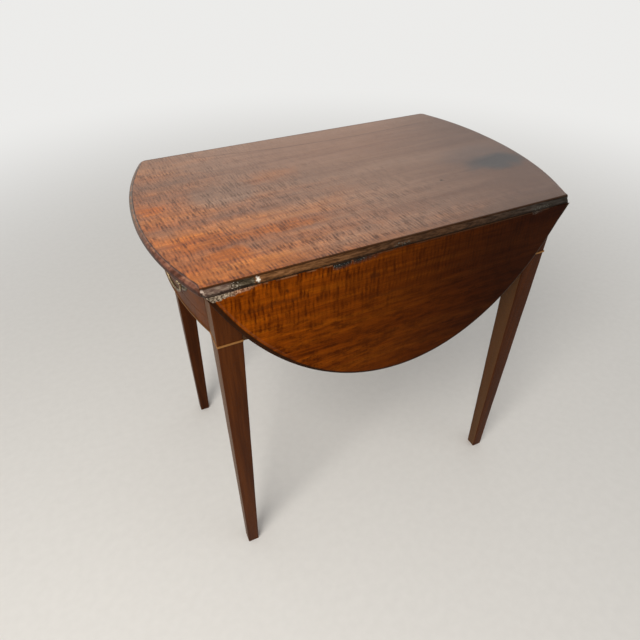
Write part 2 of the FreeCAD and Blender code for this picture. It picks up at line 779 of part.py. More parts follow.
def drawer_housing():
    """Runners under the drawer's sides, kickers over them, and the stops that it shuts against."""
    for name, side in NEAR_AND_FAR.items():
        inner = times(side, "inner_side - runner_width")
        outer = times(side, "inner_side")
        back = times(-1, "rail_back")
        keep(f"{name}_drawer_runner", box_body("runner", (back, inner, "opening_foot - runner_height"),
                                               ("rail_back", outer, "opening_foot")))
        kicker = box_body("kicker", (back, inner, "opening_head"), ("rail_back", outer, "underside"))
        holes = screws(top_screw_spots([side]), "top_screw_length", "screw_gap")
        keep(f"{name}_drawer_kicker", cut(kicker, holes))
    keep("top_screws", group(screws(top_screw_spots(), "top_screw_length")))
    stops = []
    land = "(inner_side - drawer_side_gap - drawer_side_thick)"
    start = "drawer_front_thick - leg_end_face + stop_gap"
    for side in NEAR_AND_FAR.values():
        stops.append(box_body("stop", (start, times(side, f"{land} - stop_gap"), "opening_foot"),
                              (f"{start} + stop_length", times(side, f"{land} - stop_gap - stop_width"),
                               "opening_foot + stop_height")))
    keep("drawer_stops", group(stops))


def drawer_back_line(further):
    """The back of the drawer front from above, from -Y to +Y: flat lands at its ends and a hollow between."""
    land = f"{further} + drawer_front_thick - leg_end_face"
    shoulder = "(inner_side - drawer_land)"
    hollow = f"-{bow(shoulder, 'drawer_front_thick')} + {further}"
    return [(land, times(-1, shoulder)),
            (hollow, times(-1, shoulder), "bow_radius - drawer_front_thick", ("-bow_crown - overrun", "0")),
            (hollow, shoulder),
            (land, shoulder)]


def tails(root, tip, low, high):
    """Dovetails on the XZ plane: each a trapezoid from its narrow root to its wide tip."""
    shapes = []
    for foot_share, head_share in DOVETAIL_SHARES:
        foot = f"({low} + {foot_share} * (({high}) - ({low})))"
        head = f"({low} + {head_share} * (({high}) - ({low})))"
        shapes.append([(root, f"{foot} + dovetail_flare"), (tip, foot), (tip, head),
                       (root, f"{head} - dovetail_flare")])
    return shapes


def drawer():
    """The drawer: bowed front, sides dovetailed to front and back, and the bottom in grooves."""
    foot = "(opening_foot + drawer_gap)"
    head = "(opening_head - drawer_gap)"
    width = "(inner_side - drawer_gap)"
    land = "(drawer_front_thick - leg_end_face)"
    side_foot = "(opening_foot + drawer_run_gap)"
    side_head = f"({head} - drawer_side_drop)"
    side_outer = "(inner_side - drawer_side_gap)"
    side_inner = f"({side_outer} - drawer_side_thick)"
    bottom_foot = f"({side_foot} + bottom_rise)"
    bottom_head = f"({bottom_foot} + bottom_thick)"
    bottom_width = f"({side_inner} + bottom_groove)"
    back_start = "(drawer_back_end - drawer_back_thick)"
    back_head = f"({side_head} - drawer_back_drop)"
    crown = ("-bow_crown - overrun", "0")

    front = pad(new_body("drawer_front_blank"), "XY", [
        [(f"-{bow(width)}", width, "bow_radius", crown),
         (f"-{bow(width)}", times(-1, width)),
         (land, times(-1, width)),
         *drawer_back_line("0"),
         (land, width)]], foot, head)
    groove = [("overrun - leg_end_face + drawer_front_thick", times(-1, bottom_width)),
              (f"{land} - bottom_groove", times(-1, bottom_width)),
              *drawer_back_line("-bottom_groove"),
              (f"{land} - bottom_groove", bottom_width),
              ("overrun - leg_end_face + drawer_front_thick", bottom_width)]
    pocket(front, "XY", [groove], bottom_foot, bottom_head)
    for side in NEAR_AND_FAR.values():
        reach = sorted((times(side, side_inner), times(side, f"{width} + overrun")), key=value)
        pocket(front, "XZ", tails(land, f"{land} - dovetail_lap", side_foot, side_head), *reach)
    bores = [tool for side in NEAR_AND_FAR.values() for tool in post_bores(-1, side, "2 * post_shank_length")]
    keep("drawer_front", cut(front, bores))

    back = box_body("drawer_back", (back_start, times(-1, side_outer), bottom_head),
                    ("drawer_back_end", side_outer, back_head))
    for name, side in NEAR_AND_FAR.items():
        faces = sorted((times(side, side_inner), times(side, side_outer)), key=value)
        board = rectangle((land, side_foot), (back_start, side_head))
        panel = pad(new_body("drawer_side"), "XZ", [board], *faces)
        pad(panel, "XZ", tails(land, f"{land} - dovetail_lap", side_foot, side_head), *faces)
        pad(panel, "XZ", tails(back_start, "drawer_back_end", bottom_head, back_head), *faces)
        pocket(back, "XZ", tails(back_start, "drawer_back_end", bottom_head, back_head), *faces)
        slot = rectangle((times(side, f"{side_inner} - overrun"), bottom_foot),
                         (times(side, bottom_width), bottom_head))
        pocket(panel, "YZ", [slot], f"{land} - overrun - dovetail_lap", "drawer_back_end + overrun")
        keep(f"{name}_drawer_side", panel)
    keep("drawer_back", back)

    spare = "bottom_groove - bottom_spare"
    edge = f"({bottom_width} - bottom_spare)"
    bottom = [("drawer_back_end", times(-1, edge)),
              (f"{land} - ({spare})", times(-1, edge)),
              *drawer_back_line(f"-({spare})"),
              (f"{land} - ({spare})", edge),
              ("drawer_back_end", edge)]
    keep("drawer_bottom", pad(new_body("drawer_bottom"), "XY", [bottom], bottom_foot, bottom_head))


def on_end(piece, end, side):
    """Put a handle's piece, drawn facing -Y about the middle of its backplate, on a bowed end."""
    spot = (times(end, bow("handle_offset")), times(side, "handle_offset"), "handle_height")
    angle = f"90 + {side} * asin(handle_offset / bow_radius) / 1 deg"
    return place(piece, spot, (0, 0, end), angle)


def across_posts(sign):
    """The middle of a post, from the middle of the handle."""
    return times(sign, "post_half_spacing"), "post_rise"


def post_bores(end, side, depth):
    """The holes that a handle's two posts go into."""
    bores = [pad(new_body("post_bore"), "XZ", [post_hole(sign)], "-overrun", depth) for sign in (-1, 1)]
    return [on_end(group(bores), end, side)]


def post_hole(sign):
    """The hole for a post's shank."""
    return "circle", across_posts(sign), "post_shank_radius + post_hole_gap"


def backplate(end, side):
    """An oval plate bent to the bow."""
    tall = "plate_half_height + overrun"
    wide = "plate_half_width + overrun"

    def face(radius):
        return f"bow_radius - sqrt(({radius}) ^ 2 - ({wide}) ^ 2)"
    inner = "bow_radius + plate_gap"
    outer = f"{inner} + plate_thick"
    bulge = ("0", "-bow_radius")
    sheet_metal = [(f"-({wide})", face(outer), outer, bulge), (wide, face(outer)),
                   (wide, face(inner), inner, bulge), (f"-({wide})", face(inner))]
    plate = pad(new_body("backplate_sheet"), "XY", [sheet_metal], f"-({tall})", tall)
    oval = doc.addObject("Part::Ellipse", "backplate_oval")
    bind(oval, MajorRadius="plate_half_width", MinorRadius="plate_half_height")
    place(oval, ("0", "-overrun", "0"), (1, 0, 0), "90")
    stamp = doc.addObject("Part::Extrusion", "backplate_stamp")
    stamp.Base = oval
    stamp.DirMode = "Custom"
    stamp.Dir = FreeCAD.Vector(0, 1, 0)
    stamp.Solid = True
    bind(stamp, LengthFwd="2 * overrun")
    blank = doc.addObject("Part::Common", "backplate_blank")
    blank.Base = plate
    blank.Tool = stamp
    holes = [pad(new_body("plate_hole"), "XZ", [post_hole(sign)], "-overrun", "overrun") for sign in (-1, 1)]
    return on_end(cut(blank, holes), end, side)


def post(sign):
    """A turned post: threaded shank, collar, neck and a round head cross-bored for the bail."""
    seat = "(plate_gap + plate_thick)"
    collar_top = f"({seat} + post_collar_thick)"
    head_foot = "(post_stand - sqrt(post_head_radius ^ 2 - post_neck_radius ^ 2))"
    section = [("0", "-post_shank_length"), ("post_shank_radius", "-post_shank_length"),
               ("post_shank_radius", seat), ("post_collar_radius", seat),
               ("post_collar_radius", collar_top), ("post_neck_radius", collar_top),
               ("post_neck_radius", head_foot, "post_head_radius", ("2 * post_head_radius", "post_stand")),
               ("post_head_radius", "post_stand", "post_head_radius",
                ("2 * post_head_radius", "post_stand + post_head_radius")),
               ("0", "post_stand + post_head_radius")]
    body = turn(new_body("post"), section)
    bore = ("circle", ("0", "post_stand"), "bail_pin_radius + running_gap")
    pocket(body, "YZ", [bore], "-2 * post_head_radius", "2 * post_head_radius")
    return place(body, (across_posts(sign)[0], "0", "post_rise"), (1, 0, 0), "90")


def bail():
    """A drop handle: a bowed loop, with an eye at each end and a pin into each post's head."""
    inner = "(post_half_spacing + post_head_radius + bail_eye_gap)"
    half = f"({inner} + bail_eye_length / 2)"
    corner = "bail_corner_radius"
    tilt = f"(90 deg * {1 - BAIL_CORNER_SHARE})"
    bottom = f"({corner} + ({half} - {corner}) / sin({tilt}))"
    side_x = f"({half} - {corner} + {corner} * sin({tilt}))"
    side_z = f"(-{corner} * cos({tilt}))"
    body = new_body("bail")
    path = flat_sketch(body, "XZ")
    outline(path, [(f"-{half}", "0", corner, (f"-{half}", f"-{corner}")),
                   (f"-{side_x}", side_z, bottom, ("0", f"-{bottom}")),
                   (side_x, side_z, corner, (half, f"-{corner}")),
                   (half, "0")], closed=False)
    section = flat_sketch(body, "XY")
    circle(section, (f"-{half}", "0"), "bail_radius")
    pipe = body.newObject("PartDesign::AdditivePipe", "bail_loop")
    pipe.Profile = section
    pipe.Spine = path
    body.Tip = pipe
    for sign in (-1, 1):
        eye = sorted((times(sign, inner), times(sign, f"{inner} + bail_eye_length")), key=value)
        pin = sorted((times(sign, "post_half_spacing - bail_pin_reach"), times(sign, half)), key=value)
        pad(body, "YZ", [("circle", ("0", "0"), "bail_eye_radius")], *eye)
        pad(body, "YZ", [("circle", ("0", "0"), "bail_pin_radius")], *pin)
    return place(body, ("0", "-post_stand", "post_rise"))


def nut(sign):
    """A square nut on a post's shank, against the inside of the drawer front."""
    across, up = across_posts(sign)
    hollow = "(bow_radius - drawer_front_thick)"
    edge = "(post_half_spacing + nut_half_width)"
    face = f"(bow_radius - sqrt({hollow} ^ 2 - {edge} ^ 2) + nut_gap)"
    corners = rectangle((f"{across} - nut_half_width", f"{up} - nut_half_width"),
                        (f"{across} + nut_half_width", f"{up} + nut_half_width"))
    body = pad(new_body("nut"), "XZ", [corners], face, f"{face} + nut_thick")
    return pocket(body, "XZ", [post_hole(sign)], "0", f"{face} + nut_thick + overrun")


def handles(end_name, end):
    """A pair of handles on one end."""
    plates = []
    posts = []
    nuts = []
    for side_name, side in NEAR_AND_FAR.items():
        plates.append(backplate(end, side))
        posts.append(on_end(group([post(-1), post(1)]), end, side))
        keep(f"{end_name}_bail_{side_name}", on_end(group([bail()]), end, side))
        if end_name == "drawer":
            nuts.append(on_end(group([nut(-1), nut(1)]), end, side))
    keep(f"{end_name}_backplates", group(plates))
    keep(f"{end_name}_handle_posts", group(posts))
    if nuts:
        keep(f"{end_name}_handle_nuts", group(nuts))


top_board()
for name, side in NEAR_AND_FAR.items():
    leaf(name, side)
    hinges(name, side)
    side_rail(name, side)
    fly_rail(name, side)
    for end_name, end in DRAWER_AND_BLIND.items():
        leg(end_name, end, name, side)
end_frame()
drawer_housing()
drawer()
for end_name, end in DRAWER_AND_BLIND.items():
    handles(end_name, end)
doc.recompute()

for item in doc.Objects:
    if {"Invalid", "Error"} & set(item.State):
        raise ValueError(f"{item.Name} failed: {item.State}")
for piece in nodes:
    if piece.Shape.isNull() or not piece.Shape.isValid() or not piece.Shape.Solids:
        raise ValueError(f"{piece.Label} has no sound solid")

os.makedirs("parts", exist_ok=True)
for piece in nodes:
    piece.Shape.exportStep(f"parts/{piece.Label}.step")
print(len(nodes), "sub-parts written")
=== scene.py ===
import json
import math

import bmesh
import bpy
import numpy as np
from mathutils import Matrix, Vector


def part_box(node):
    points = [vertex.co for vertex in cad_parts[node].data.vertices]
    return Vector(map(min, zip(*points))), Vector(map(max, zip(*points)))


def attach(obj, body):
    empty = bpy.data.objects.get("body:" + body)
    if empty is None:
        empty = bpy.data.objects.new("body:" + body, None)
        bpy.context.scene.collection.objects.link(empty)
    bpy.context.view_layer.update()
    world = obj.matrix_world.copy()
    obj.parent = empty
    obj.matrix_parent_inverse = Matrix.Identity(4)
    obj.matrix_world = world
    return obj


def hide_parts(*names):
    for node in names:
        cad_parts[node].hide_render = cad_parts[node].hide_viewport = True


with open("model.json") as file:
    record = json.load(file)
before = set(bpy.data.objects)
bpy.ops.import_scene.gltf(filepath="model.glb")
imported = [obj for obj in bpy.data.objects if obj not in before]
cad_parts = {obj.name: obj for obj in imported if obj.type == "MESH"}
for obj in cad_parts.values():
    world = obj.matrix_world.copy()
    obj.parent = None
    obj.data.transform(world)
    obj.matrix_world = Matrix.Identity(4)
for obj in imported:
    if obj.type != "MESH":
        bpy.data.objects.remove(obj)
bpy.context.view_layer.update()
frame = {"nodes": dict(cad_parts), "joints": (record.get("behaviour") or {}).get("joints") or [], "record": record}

# The camera stands where the photograph was taken from
CAMERA_AT = (-0.4017, -0.7787, 1.1180)
CAMERA_AZIMUTH = math.radians(-24.68)
CAMERA_ELEVATION = math.radians(40.58)
PICTURE_WIDTH = 640
FOCAL_PIXELS = 512.7
SENSOR = 36.0

# Sizes of the table, in metres, read from the frame
SIDES = {"near": -1, "far": 1}
ENDS = {"drawer": -1, "blind": 1}
JOINTS = {joint["name"]: joint for joint in frame["joints"]}
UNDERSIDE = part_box("top_board")[0].z
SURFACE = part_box("top_board")[1].z
HALF_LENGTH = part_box("top_board")[1].x
JOINT_LINE = JOINTS["far_leaf_hinge"]["pos_m"][1]
AXIS_HEIGHT = JOINTS["far_leaf_hinge"]["pos_m"][2]
HANG = math.radians(JOINTS["far_leaf_hinge"]["range_deg"][1])
COLLAR_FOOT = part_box("collar_drawer_near")[0].z
POST_LOW, POST_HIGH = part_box("leg_blind_far")
POST_SQUARE = POST_HIGH.y - POST_LOW.y

# Sizes of the boards that the frame doesn't give by itself
TOP_HALF_WIDTH = 0.454
LEAF_HALF_LENGTH = 0.363
LEAF_HALF_WIDTH = 0.462
OVOLO = 0.008
COVE = 0.0084
LIP_GAP = 0.0004
FILLET_FOOT = AXIS_HEIGHT + OVOLO
LEAF_FACE = SURFACE - AXIS_HEIGHT
LEAF_UNDER = UNDERSIDE - AXIS_HEIGHT
FILLET_ROUND = 0.0014
FLAT_BEND = 0.012
NOSING_OUT = 0.0080
NOSING_DROP = 0.0060
NOSING_EASE = 0.014
CORNER_NOSING_SHARE = 0.40
ROOM_SHARE = 0.96
RIM_OUT = 0.0070
RIM_DROP = 0.0045
UNDER_ROUND = 0.004
CORNER_ROUND = {"near": 0.0025, "far": 0.012}
SURFACE_DEPTH = 0.0025
EDGE_WIDTH = 0.0025
EDGE_DROP = 0.0008
SAG = 0.00012
HINGE_SPACING = 0.21647
HINGE_SEAT_HALF = 0.0184
# A hinge's seat in the top: distance out from the hinge line, height over the board's underside
HINGE_SEAT = ((-0.0300, -0.0050), (-0.0300, 0.0020), (-0.0052, 0.0020), (-0.0052, 0.0082), (0.0052, 0.0082),
              (0.0052, 0.0024), (0.0090, 0.0024), (0.0090, -0.0050))
# The cove gives out where the leaf's end is narrower than this
COVE_FADE = (0.0105, 0.0125)

# Sizes of the legs and handles
FOOT_SQUARE = 0.0225
FOOT_SPLAY = 0.006
FOOT_CHAMFER = 0.0012
TAPER_START = 0.004
LEG_ROUND = 0.0016
BOW_RADIUS = 0.59215
HANDLE_STAND = 0.0075
PLATE_HALF_LENGTH = 0.035
PLATE_HALF_HEIGHT = 0.022
PLATE_DROP = 0.004
PLATE_BASE = 0.0007
PLATE_DOME = 0.0012
PLATE_BEAD = 0.0010
PLATE_RIDGE = 0.0006
PLATE_HOLLOW = 0.0004
PLATE_EDGE = 0.0005
PLATE_POINTS = 96
PLATE_SHARES = np.concatenate([np.linspace(0.02, 0.58, 12), np.linspace(0.62, 1.0, 26), [1.0, 0.02]])
POST_SPACING = 0.022
POST_BALL = 0.0042
POST_TIP = 0.0004
# A post's collar and neck: radius, stand from the plate
POST_NECK = ((0.0040, 0.0008), (0.0043, 0.0014), (0.0042, 0.0024), (0.0030, 0.0029), (0.0025, 0.0034),
             (0.0026, 0.0040))
BAIL_HALF_WIDTH = 0.0286
BAIL_ROD = 0.0019
BAIL_SWELL = 0.0003
BAIL_CORNER = 0.016
BAIL_SWEEP = 0.0412
BAIL_SWEEP_ANGLE = math.radians(30)
BAIL_STRAIGHT = 0.0038
# A bail's eye and its pin into the post: reach along the hinge, radius
BAIL_EYE = ((-0.0066, 0.0001), (-0.0066, 0.0013), (-0.0022, 0.0013), (-0.0022, 0.0023), (-0.0018, 0.0027),
            (0.0018, 0.0027), (0.0022, 0.0023), (0.0022, 0.0001))

# Wear of the near rule joint, and the depth from which the lip shows as broken
OVOLO_WEAR = 0.0002
LIP_WEAR = 0.0003
BROKEN_FROM = 0.0006
# Breaks of the leaf's lip: start and end along the hinge, depth, paleness
LIP_BREAKS = ((-0.330, -0.244, 0.0125, 1.0), (-0.131, -0.098, 0.0050, 0.0), (-0.100, -0.046, 0.0020, 0.0),
              (0.236, 0.272, 0.0018, 0.1))
# Chips of the ovolo: middle along the hinge, half length, depth
OVOLO_CHIPS = ((-0.2815, 0.0350, 0.0013), (-0.2430, 0.0036, 0.0012), (-0.0130, 0.0130, 0.0007),
               (0.2580, 0.0200, 0.0007))
# Pale chips on the near rule joint: along the hinge, height over it, reach each way, colour
JOINT_CHIPS = ((-0.2415, 0.0058, (0.0036, 0.0064, 0.0050), (0.700, 0.660, 0.580)),
               (-0.3200, 0.0062, (0.0044, 0.0080, 0.0038), (0.640, 0.520, 0.430)))
# Marks on the top: along and across the board, reach each way, strength
TOP_SPOTS = ((0.156, -0.087, 0.005, 0.004, 0.85), (-0.072, -0.011, 0.005, 0.003, 0.45),
             (-0.082, 0.024, 0.006, 0.003, 0.40), (-0.272, -0.197, 0.007, 0.0025, 0.60),
             (-0.231, -0.128, 0.004, 0.003, 0.35), (0.036, 0.052, 0.004, 0.003, 0.30))
# Patches of the top that keep their orange, or have lost it: along and across, reach each way, strength
TOP_GLOWS = ((-0.341, 0.014, 0.030, 0.020, 0.22), (-0.335, -0.062, 0.035, 0.030, -0.10),
             (-0.285, -0.112, 0.070, 0.030, 0.20), (-0.262, -0.160, 0.045, 0.022, 0.30),
             (-0.160, -0.120, 0.110, 0.022, 0.20), (-0.120, 0.060, 0.080, 0.035, 0.16),
             (-0.220, 0.020, 0.080, 0.050, -0.24), (-0.060, -0.190, 0.140, 0.030, -0.12))
# Dark streaks in the leaf: along the hinge and out from it, reach each way, strength
LEAF_STREAKS = ((-0.225, 0.039, 0.080, 0.0050, 0.42), (-0.061, 0.036, 0.010, 0.0090, 0.55),
                (-0.036, 0.075, 0.065, 0.0050, 0.35), (-0.267, 0.012, 0.004, 0.0035, 0.60),
                (-0.205, 0.020, 0.003, 0.0035, 0.60), (0.110, 0.060, 0.080, 0.0060, 0.35))

# Colours of the plain woods, dark, middle and light, then their least roughness and their pores' strength
PLAIN_WOODS = {
    "mahogany_leg": ((0.034, 0.0085, 0.0018), (0.060, 0.0155, 0.0030), (0.098, 0.027, 0.0054), 0.28, 0.3),
    "mahogany_frieze": ((0.058, 0.017, 0.003), (0.105, 0.030, 0.006), (0.165, 0.049, 0.010), 0.26, 0.3),
    "boxwood": ((0.200, 0.085, 0.025), (0.300, 0.140, 0.043), (0.400, 0.205, 0.072), 0.35, 0.1),
    "grimy_string": ((0.100, 0.043, 0.014), (0.160, 0.074, 0.026), (0.230, 0.112, 0.042), 0.40, 0.2),
    "oak_lining": ((0.210, 0.125, 0.060), (0.330, 0.215, 0.110), (0.430, 0.300, 0.165), 0.55, 0.6),
    "plain_wood": ((0.046, 0.022, 0.010), (0.080, 0.041, 0.019), (0.125, 0.069, 0.034), 0.60, 0.3),
}
BARE_WOOD = ((0.110, 0.055, 0.026), (0.180, 0.095, 0.046), (0.250, 0.140, 0.072))
# Painted light: the paler wood on the legs' faces towards the drawer end
PAINTED_LIGHT_WOOD = (0.130, 0.064, 0.027)
TOP_GLOSS = {"mahogany_top": 0.34, "mahogany_edge": 0.05}
CROSS_VENEERED = ("lower_drawer_rail", "upper_drawer_rail")
GRIMY = {"drawer_end_string": "grimy_string", "blind_end_string": "grimy_string"}
BACKDROP = (0.84, 0.835, 0.82, 1)
FLOOR_HALF = 20.0
SHARP_EDGE = math.radians(38)
WELD = 1e-6


def smooth(low, high, values):
    """The smooth step: nought below low, one above high, three squares less two cubes between."""
    share = np.clip((values - low) / (high - low), 0, 1)
    return share * share * (3 - 2 * share)


def wander(values, seed, longest, shortest, waves=7):
    """An uneven line within one either way: sine waves from longest to shortest, with drawn phases."""
    draw = np.random.default_rng(seed)
    lengths = np.geomspace(longest, shortest, waves)
    phases = draw.uniform(0, 2 * np.pi, waves)
    strengths = np.sqrt(lengths / longest)
    swings = np.sin(2 * np.pi * np.asarray(values)[..., None] / lengths + phases)
    return swings @ strengths / strengths.sum()


def circle(count):
    """Angles evenly round a circle."""
    return np.linspace(0, 2 * np.pi, count, endpoint=False)


def loft(rings, capped=False):
    """The faces over closed rings: each point joined to the next of its ring and to the next ring."""
    rows, columns, _ = rings.shape
    here = np.arange(rows * columns).reshape(rows, columns)
    onward = np.roll(here, -1, axis=1)
    faces = np.stack([here[:-1], onward[:-1], onward[1:], here[1:]], axis=-1).reshape(-1, 4).tolist()
    if capped:
        faces.append(here[0, ::-1].tolist())
        faces.append(here[-1].tolist())
    return faces


def gather(*shapes):
    """Several capped lofts as one: their points in a row, the faces of each counted on from the one
    before."""
    points = np.concatenate([rings.reshape(-1, 3) for rings in shapes])
    faces = []
    start = 0
    for rings in shapes:
        faces += [[start + corner for corner in face] for face in loft(rings, True)]
        start += rings.shape[0] * rings.shape[1]
    return points, faces


def add(name, data):
    """Puts a mesh, light or camera into the scene."""
    made = bpy.data.objects.new(name, data)
    bpy.context.scene.collection.objects.link(made)
    return made


def aim(made, at, back):
    """Sets a light or camera at a place, with its back to a direction."""
    made.matrix_world = Matrix.Translation(at) @ back.to_track_quat("Z", "Y").to_matrix().to_4x4()


def solid(name, points, faces, marks):
    """Puts points and faces into a mesh with its marks, welds it and turns it outwards."""
    mesh = bpy.data.meshes.new(name)
    mesh.from_pydata(points.reshape(-1, 3), [], faces)
    for word, values in marks.items():
        kind, field = ("FLOAT_VECTOR", "vector") if values.shape[-1] == 3 else ("FLOAT", "value")
        layer = mesh.attributes.new(word, kind, "POINT")
        layer.data.foreach_set(field, values.astype(np.float32).ravel())
    shape = bmesh.new()
    shape.from_mesh(mesh)
    bmesh.ops.remove_doubles(shape, verts=shape.verts, dist=WELD)
    bmesh.ops.recalc_face_normals(shape, faces=shape.faces)
    shape.to_mesh(mesh)
    shape.free()
    return add(name, mesh)


def piece(name, points, faces, body, slot, finish, nodes, **marks):
    """A solid with smooth faces and a finish, which rides on a body and stands for its nodes."""
    made = solid(name, points, faces, marks)
    made.data.shade_smooth()
    made.data.set_sharp_from_angle(angle=SHARP_EDGE)
    made.data.materials.append(finish)
    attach(made, body)
    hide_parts(*nodes)
    return made


# Materials


class Value:
    """A result in a tree of nodes, which sums with numbers and with other results."""

    def __init__(self, nodes, socket):
        self.nodes = nodes
        self.socket = socket

    def __add__(self, other):
        return self.nodes.work("ADD", self, other)

    def __sub__(self, other):
        return self.nodes.work("SUBTRACT", self, other)

    def __mul__(self, other):
        return self.nodes.work("MULTIPLY", self, other)

    def __truediv__(self, other):
        return self.nodes.work("DIVIDE", self, other)


class Nodes:
    """A tree of shader nodes: each call adds to it, takes numbers or results, and gives a result."""

    def __init__(self, tree):
        self.tree = tree

    def give(self, socket, value):
        """Links a result to a socket, or sets a number or colour on it."""
        if isinstance(value, Value):
            self.tree.links.new(value.socket, socket)
        else:
            socket.default_value = value

    def node(self, kind, sockets, output=0, **settings):
        """Adds a node of a kind, with its settings and the values of its sockets, and gives a result of
        it."""
        made = self.tree.nodes.new("ShaderNode" + kind)
        for word, value in settings.items():
            setattr(made, word, value)
        for word, value in sockets.items():
            self.give(made.inputs[word], value)
        return Value(self, made.outputs[output])

    def work(self, operation, first, second=0.0):
        """A sum of one or two numbers."""
        return self.node("Math", {0: first, 1: second}, operation=operation)

    def sees_backdrop(self):
        """One for rays from the camera, and for those by way of gloss or glass."""
        kinds = ("Camera", "Glossy", "Transmission")
        rays = [self.node("LightPath", {}, f"Is {kind} Ray") for kind in kinds]
        return self.work("MAXIMUM", self.work("MAXIMUM", rays[0], rays[1]), rays[2])

    def show(self, share, shader, other, end):
        """Sends one shader to the end node, and another in its place by a share."""
        blend = self.node("MixShader", {0: share, 1: Value(self, shader.outputs[0]), 2: other})
        self.give(self.tree.nodes[end].inputs["Surface"], blend)


class Finish(Nodes):
    """A material being made."""

    def __init__(self, name):
        self.material = bpy.data.materials.new(name)
        self.material.use_nodes = True
        super().__init__(self.material.node_tree)
        self.shader = self.tree.nodes["Principled BSDF"]

    def place(self):
        """The point of the surface in the piece's own coordinates."""
        return self.node("TexCoord", {}, "Object")

    def mark(self, word, output="Fac"):
        """A mark that the mesh carries."""
        return self.node("Attribute", {}, output, attribute_name=word)

    def split(self, vector):
        """The three parts of a vector."""
        parts = self.node("SeparateXYZ", {"Vector": vector}).socket.node.outputs
        return [Value(self, part) for part in parts]

    def join(self, first, second, third):
        """A vector from its three parts."""
        return self.node("CombineXYZ", {0: first, 1: second, 2: third})

    def vectors(self, operation, first, second):
        """A sum of two vectors."""
        return self.node("VectorMath", {0: first, 1: second}, operation=operation)

    def length(self, vector):
        """The length of a vector."""
        return self.node("VectorMath", {0: vector}, "Value", operation="LENGTH")

    def span(self, value, low, high, start=0.0, stop=1.0):
        """A smooth step from start at low to stop at high."""
        sockets = {"Value": value, "From Min": low, "From Max": high, "To Min": start, "To Max": stop}
        return self.node("MapRange", sockets, interpolation_type="SMOOTHSTEP")

    def between(self, value, low, high, ease):
        """One from low to high, easing to nought outside them."""
        return self.span(value, low - ease, low + ease) * self.span(value, high + ease, high - ease)

    def noise(self, vector, scale, detail=2.0, rough=0.5):
        """Cloudy noise, stretched by a scale along each direction."""
        stretched = self.node("Mapping", {"Vector": vector, "Scale": scale})
        sockets = {"Vector": stretched, "Scale": 1.0, "Detail": detail, "Roughness": rough}
        return self.node("TexNoise", sockets)

    def ramp(self, value, *stops):
        """A run of colours by value."""
        made = self.node("ValToRGB", {"Fac": value})
        elements = made.socket.node.color_ramp.elements
        while len(elements) < len(stops):
            elements.new(0.5)
        for element, (position, colour) in zip(elements, stops):
            element.position = position
            element.color = (*colour, 1)
        return made

    def tones(self, value, dark, middle, light):
        """A board's run of three colours by value."""
        return self.ramp(value, (0.36, dark), (0.50, middle), (0.64, light))

    def mix(self, share, first, second, blend="MIX"):
        """Two colours mixed by a share."""
        first, second = (value if isinstance(value, Value) else (*value, 1) for value in (first, second))
        return self.node("Mix", {0: share, 6: first, 7: second}, 2, data_type="RGBA", blend_type=blend)

    def tint(self, share, colour, tint):
        """A colour multiplied by a tint, by a share."""
        return self.mix(share, colour, tint, "MULTIPLY")

    def patch(self, vector, centre, reach):
        """One at a centre, falling to nought at a reach along each direction."""
        shares = self.vectors("DIVIDE", self.vectors("SUBTRACT", vector, centre), reach)
        return self.span(self.length(shares), 1.0, 0.35)

    def frayed(self, vector, scale, reach):
        """A place moved by up to about a reach each way, by noise of a scale."""
        stirred = self.node("TexNoise", {"Vector": vector, "Scale": scale, "Detail": 3.0}, "Color")
        moved = self.vectors("SUBTRACT", stirred, (0.5, 0.5, 0.5))
        return self.vectors("ADD", vector, self.vectors("MULTIPLY", moved, (3 * reach,) * 3))

    def done(self, colour, rough, height=None, bump=0.0, **sockets):
        """Ends the material: its colour, roughness, bump and the shader's own fixed values."""
        self.give(self.shader.inputs["Base Color"], colour)
        self.give(self.shader.inputs["Roughness"], rough)
        if height is not None:
            bumped = self.node("Bump", {"Strength": 1.0, "Distance": bump, "Height": height})
            self.give(self.shader.inputs["Normal"], bumped)
        for word, value in sockets.items():
            self.shader.inputs[word.replace("_", " ")].default_value = value
        return self.material


def grain_first(finish, axis):
    """The place on the surface with the direction of the grain put first."""
    parts = dict(zip("XYZ", finish.split(finish.place())))
    return finish.join(parts.pop(axis), *parts.values())


def grain(finish, place):
    """Long streaks, fine streaks and pores along the first direction, on lines that wander a little, and
    the tone that they make together."""
    along, across, through = finish.split(place)
    bend = finish.noise(place, (2.2, 9, 9))
    bent = finish.join(along, bend * 0.018 + across, through)
    lines = {
        "broad": finish.noise(bent, (1.6, 15, 15), 3.0, 0.55),
        "streak": finish.noise(bent, (4.5, 95, 95), 5.0, 0.6),
        "fine": finish.noise(bent, (15, 560, 560), 3.0, 0.6),
        "pores": finish.span(finish.noise(bent, (190, 2300, 2300), 1.0), 0.60, 0.70),
    }
    lines["tone"] = lines["broad"] * 0.40 + lines["streak"] * 0.42 + lines["fine"] * 0.18
    return lines


def ripple(finish, place, slant, spacing):
    """Fiddleback lines across the grain: a sine along it, leaned, its turns shifted by slow noise and
    from streak to streak of the grain, weighed with fine and coarse long thin noise that breaks the lines
    up."""
    along, across, through = finish.split(place)
    leaned = across * slant + along
    sway = finish.noise(place, (6, 9, 9), 1.0)
    shift = finish.noise(place, (5, 70, 70))
    fray = finish.noise(place, (190, 30, 30))
    turns = leaned * (2 * math.pi / spacing) + sway * 14.0 + shift * 6.0 + fray * 5.0
    wave = finish.work("SINE", turns) * 0.5 + 0.5
    slanted = finish.join(leaned, across, through)
    thin = finish.span(finish.noise(slanted, (215, 45, 45), 2.0, 0.6), 0.34, 0.66)
    wide = finish.span(finish.noise(slanted, (92, 36, 36), 3.0, 0.6), 0.34, 0.66)
    return wave * 0.28 + thin * 0.36 + wide * 0.36


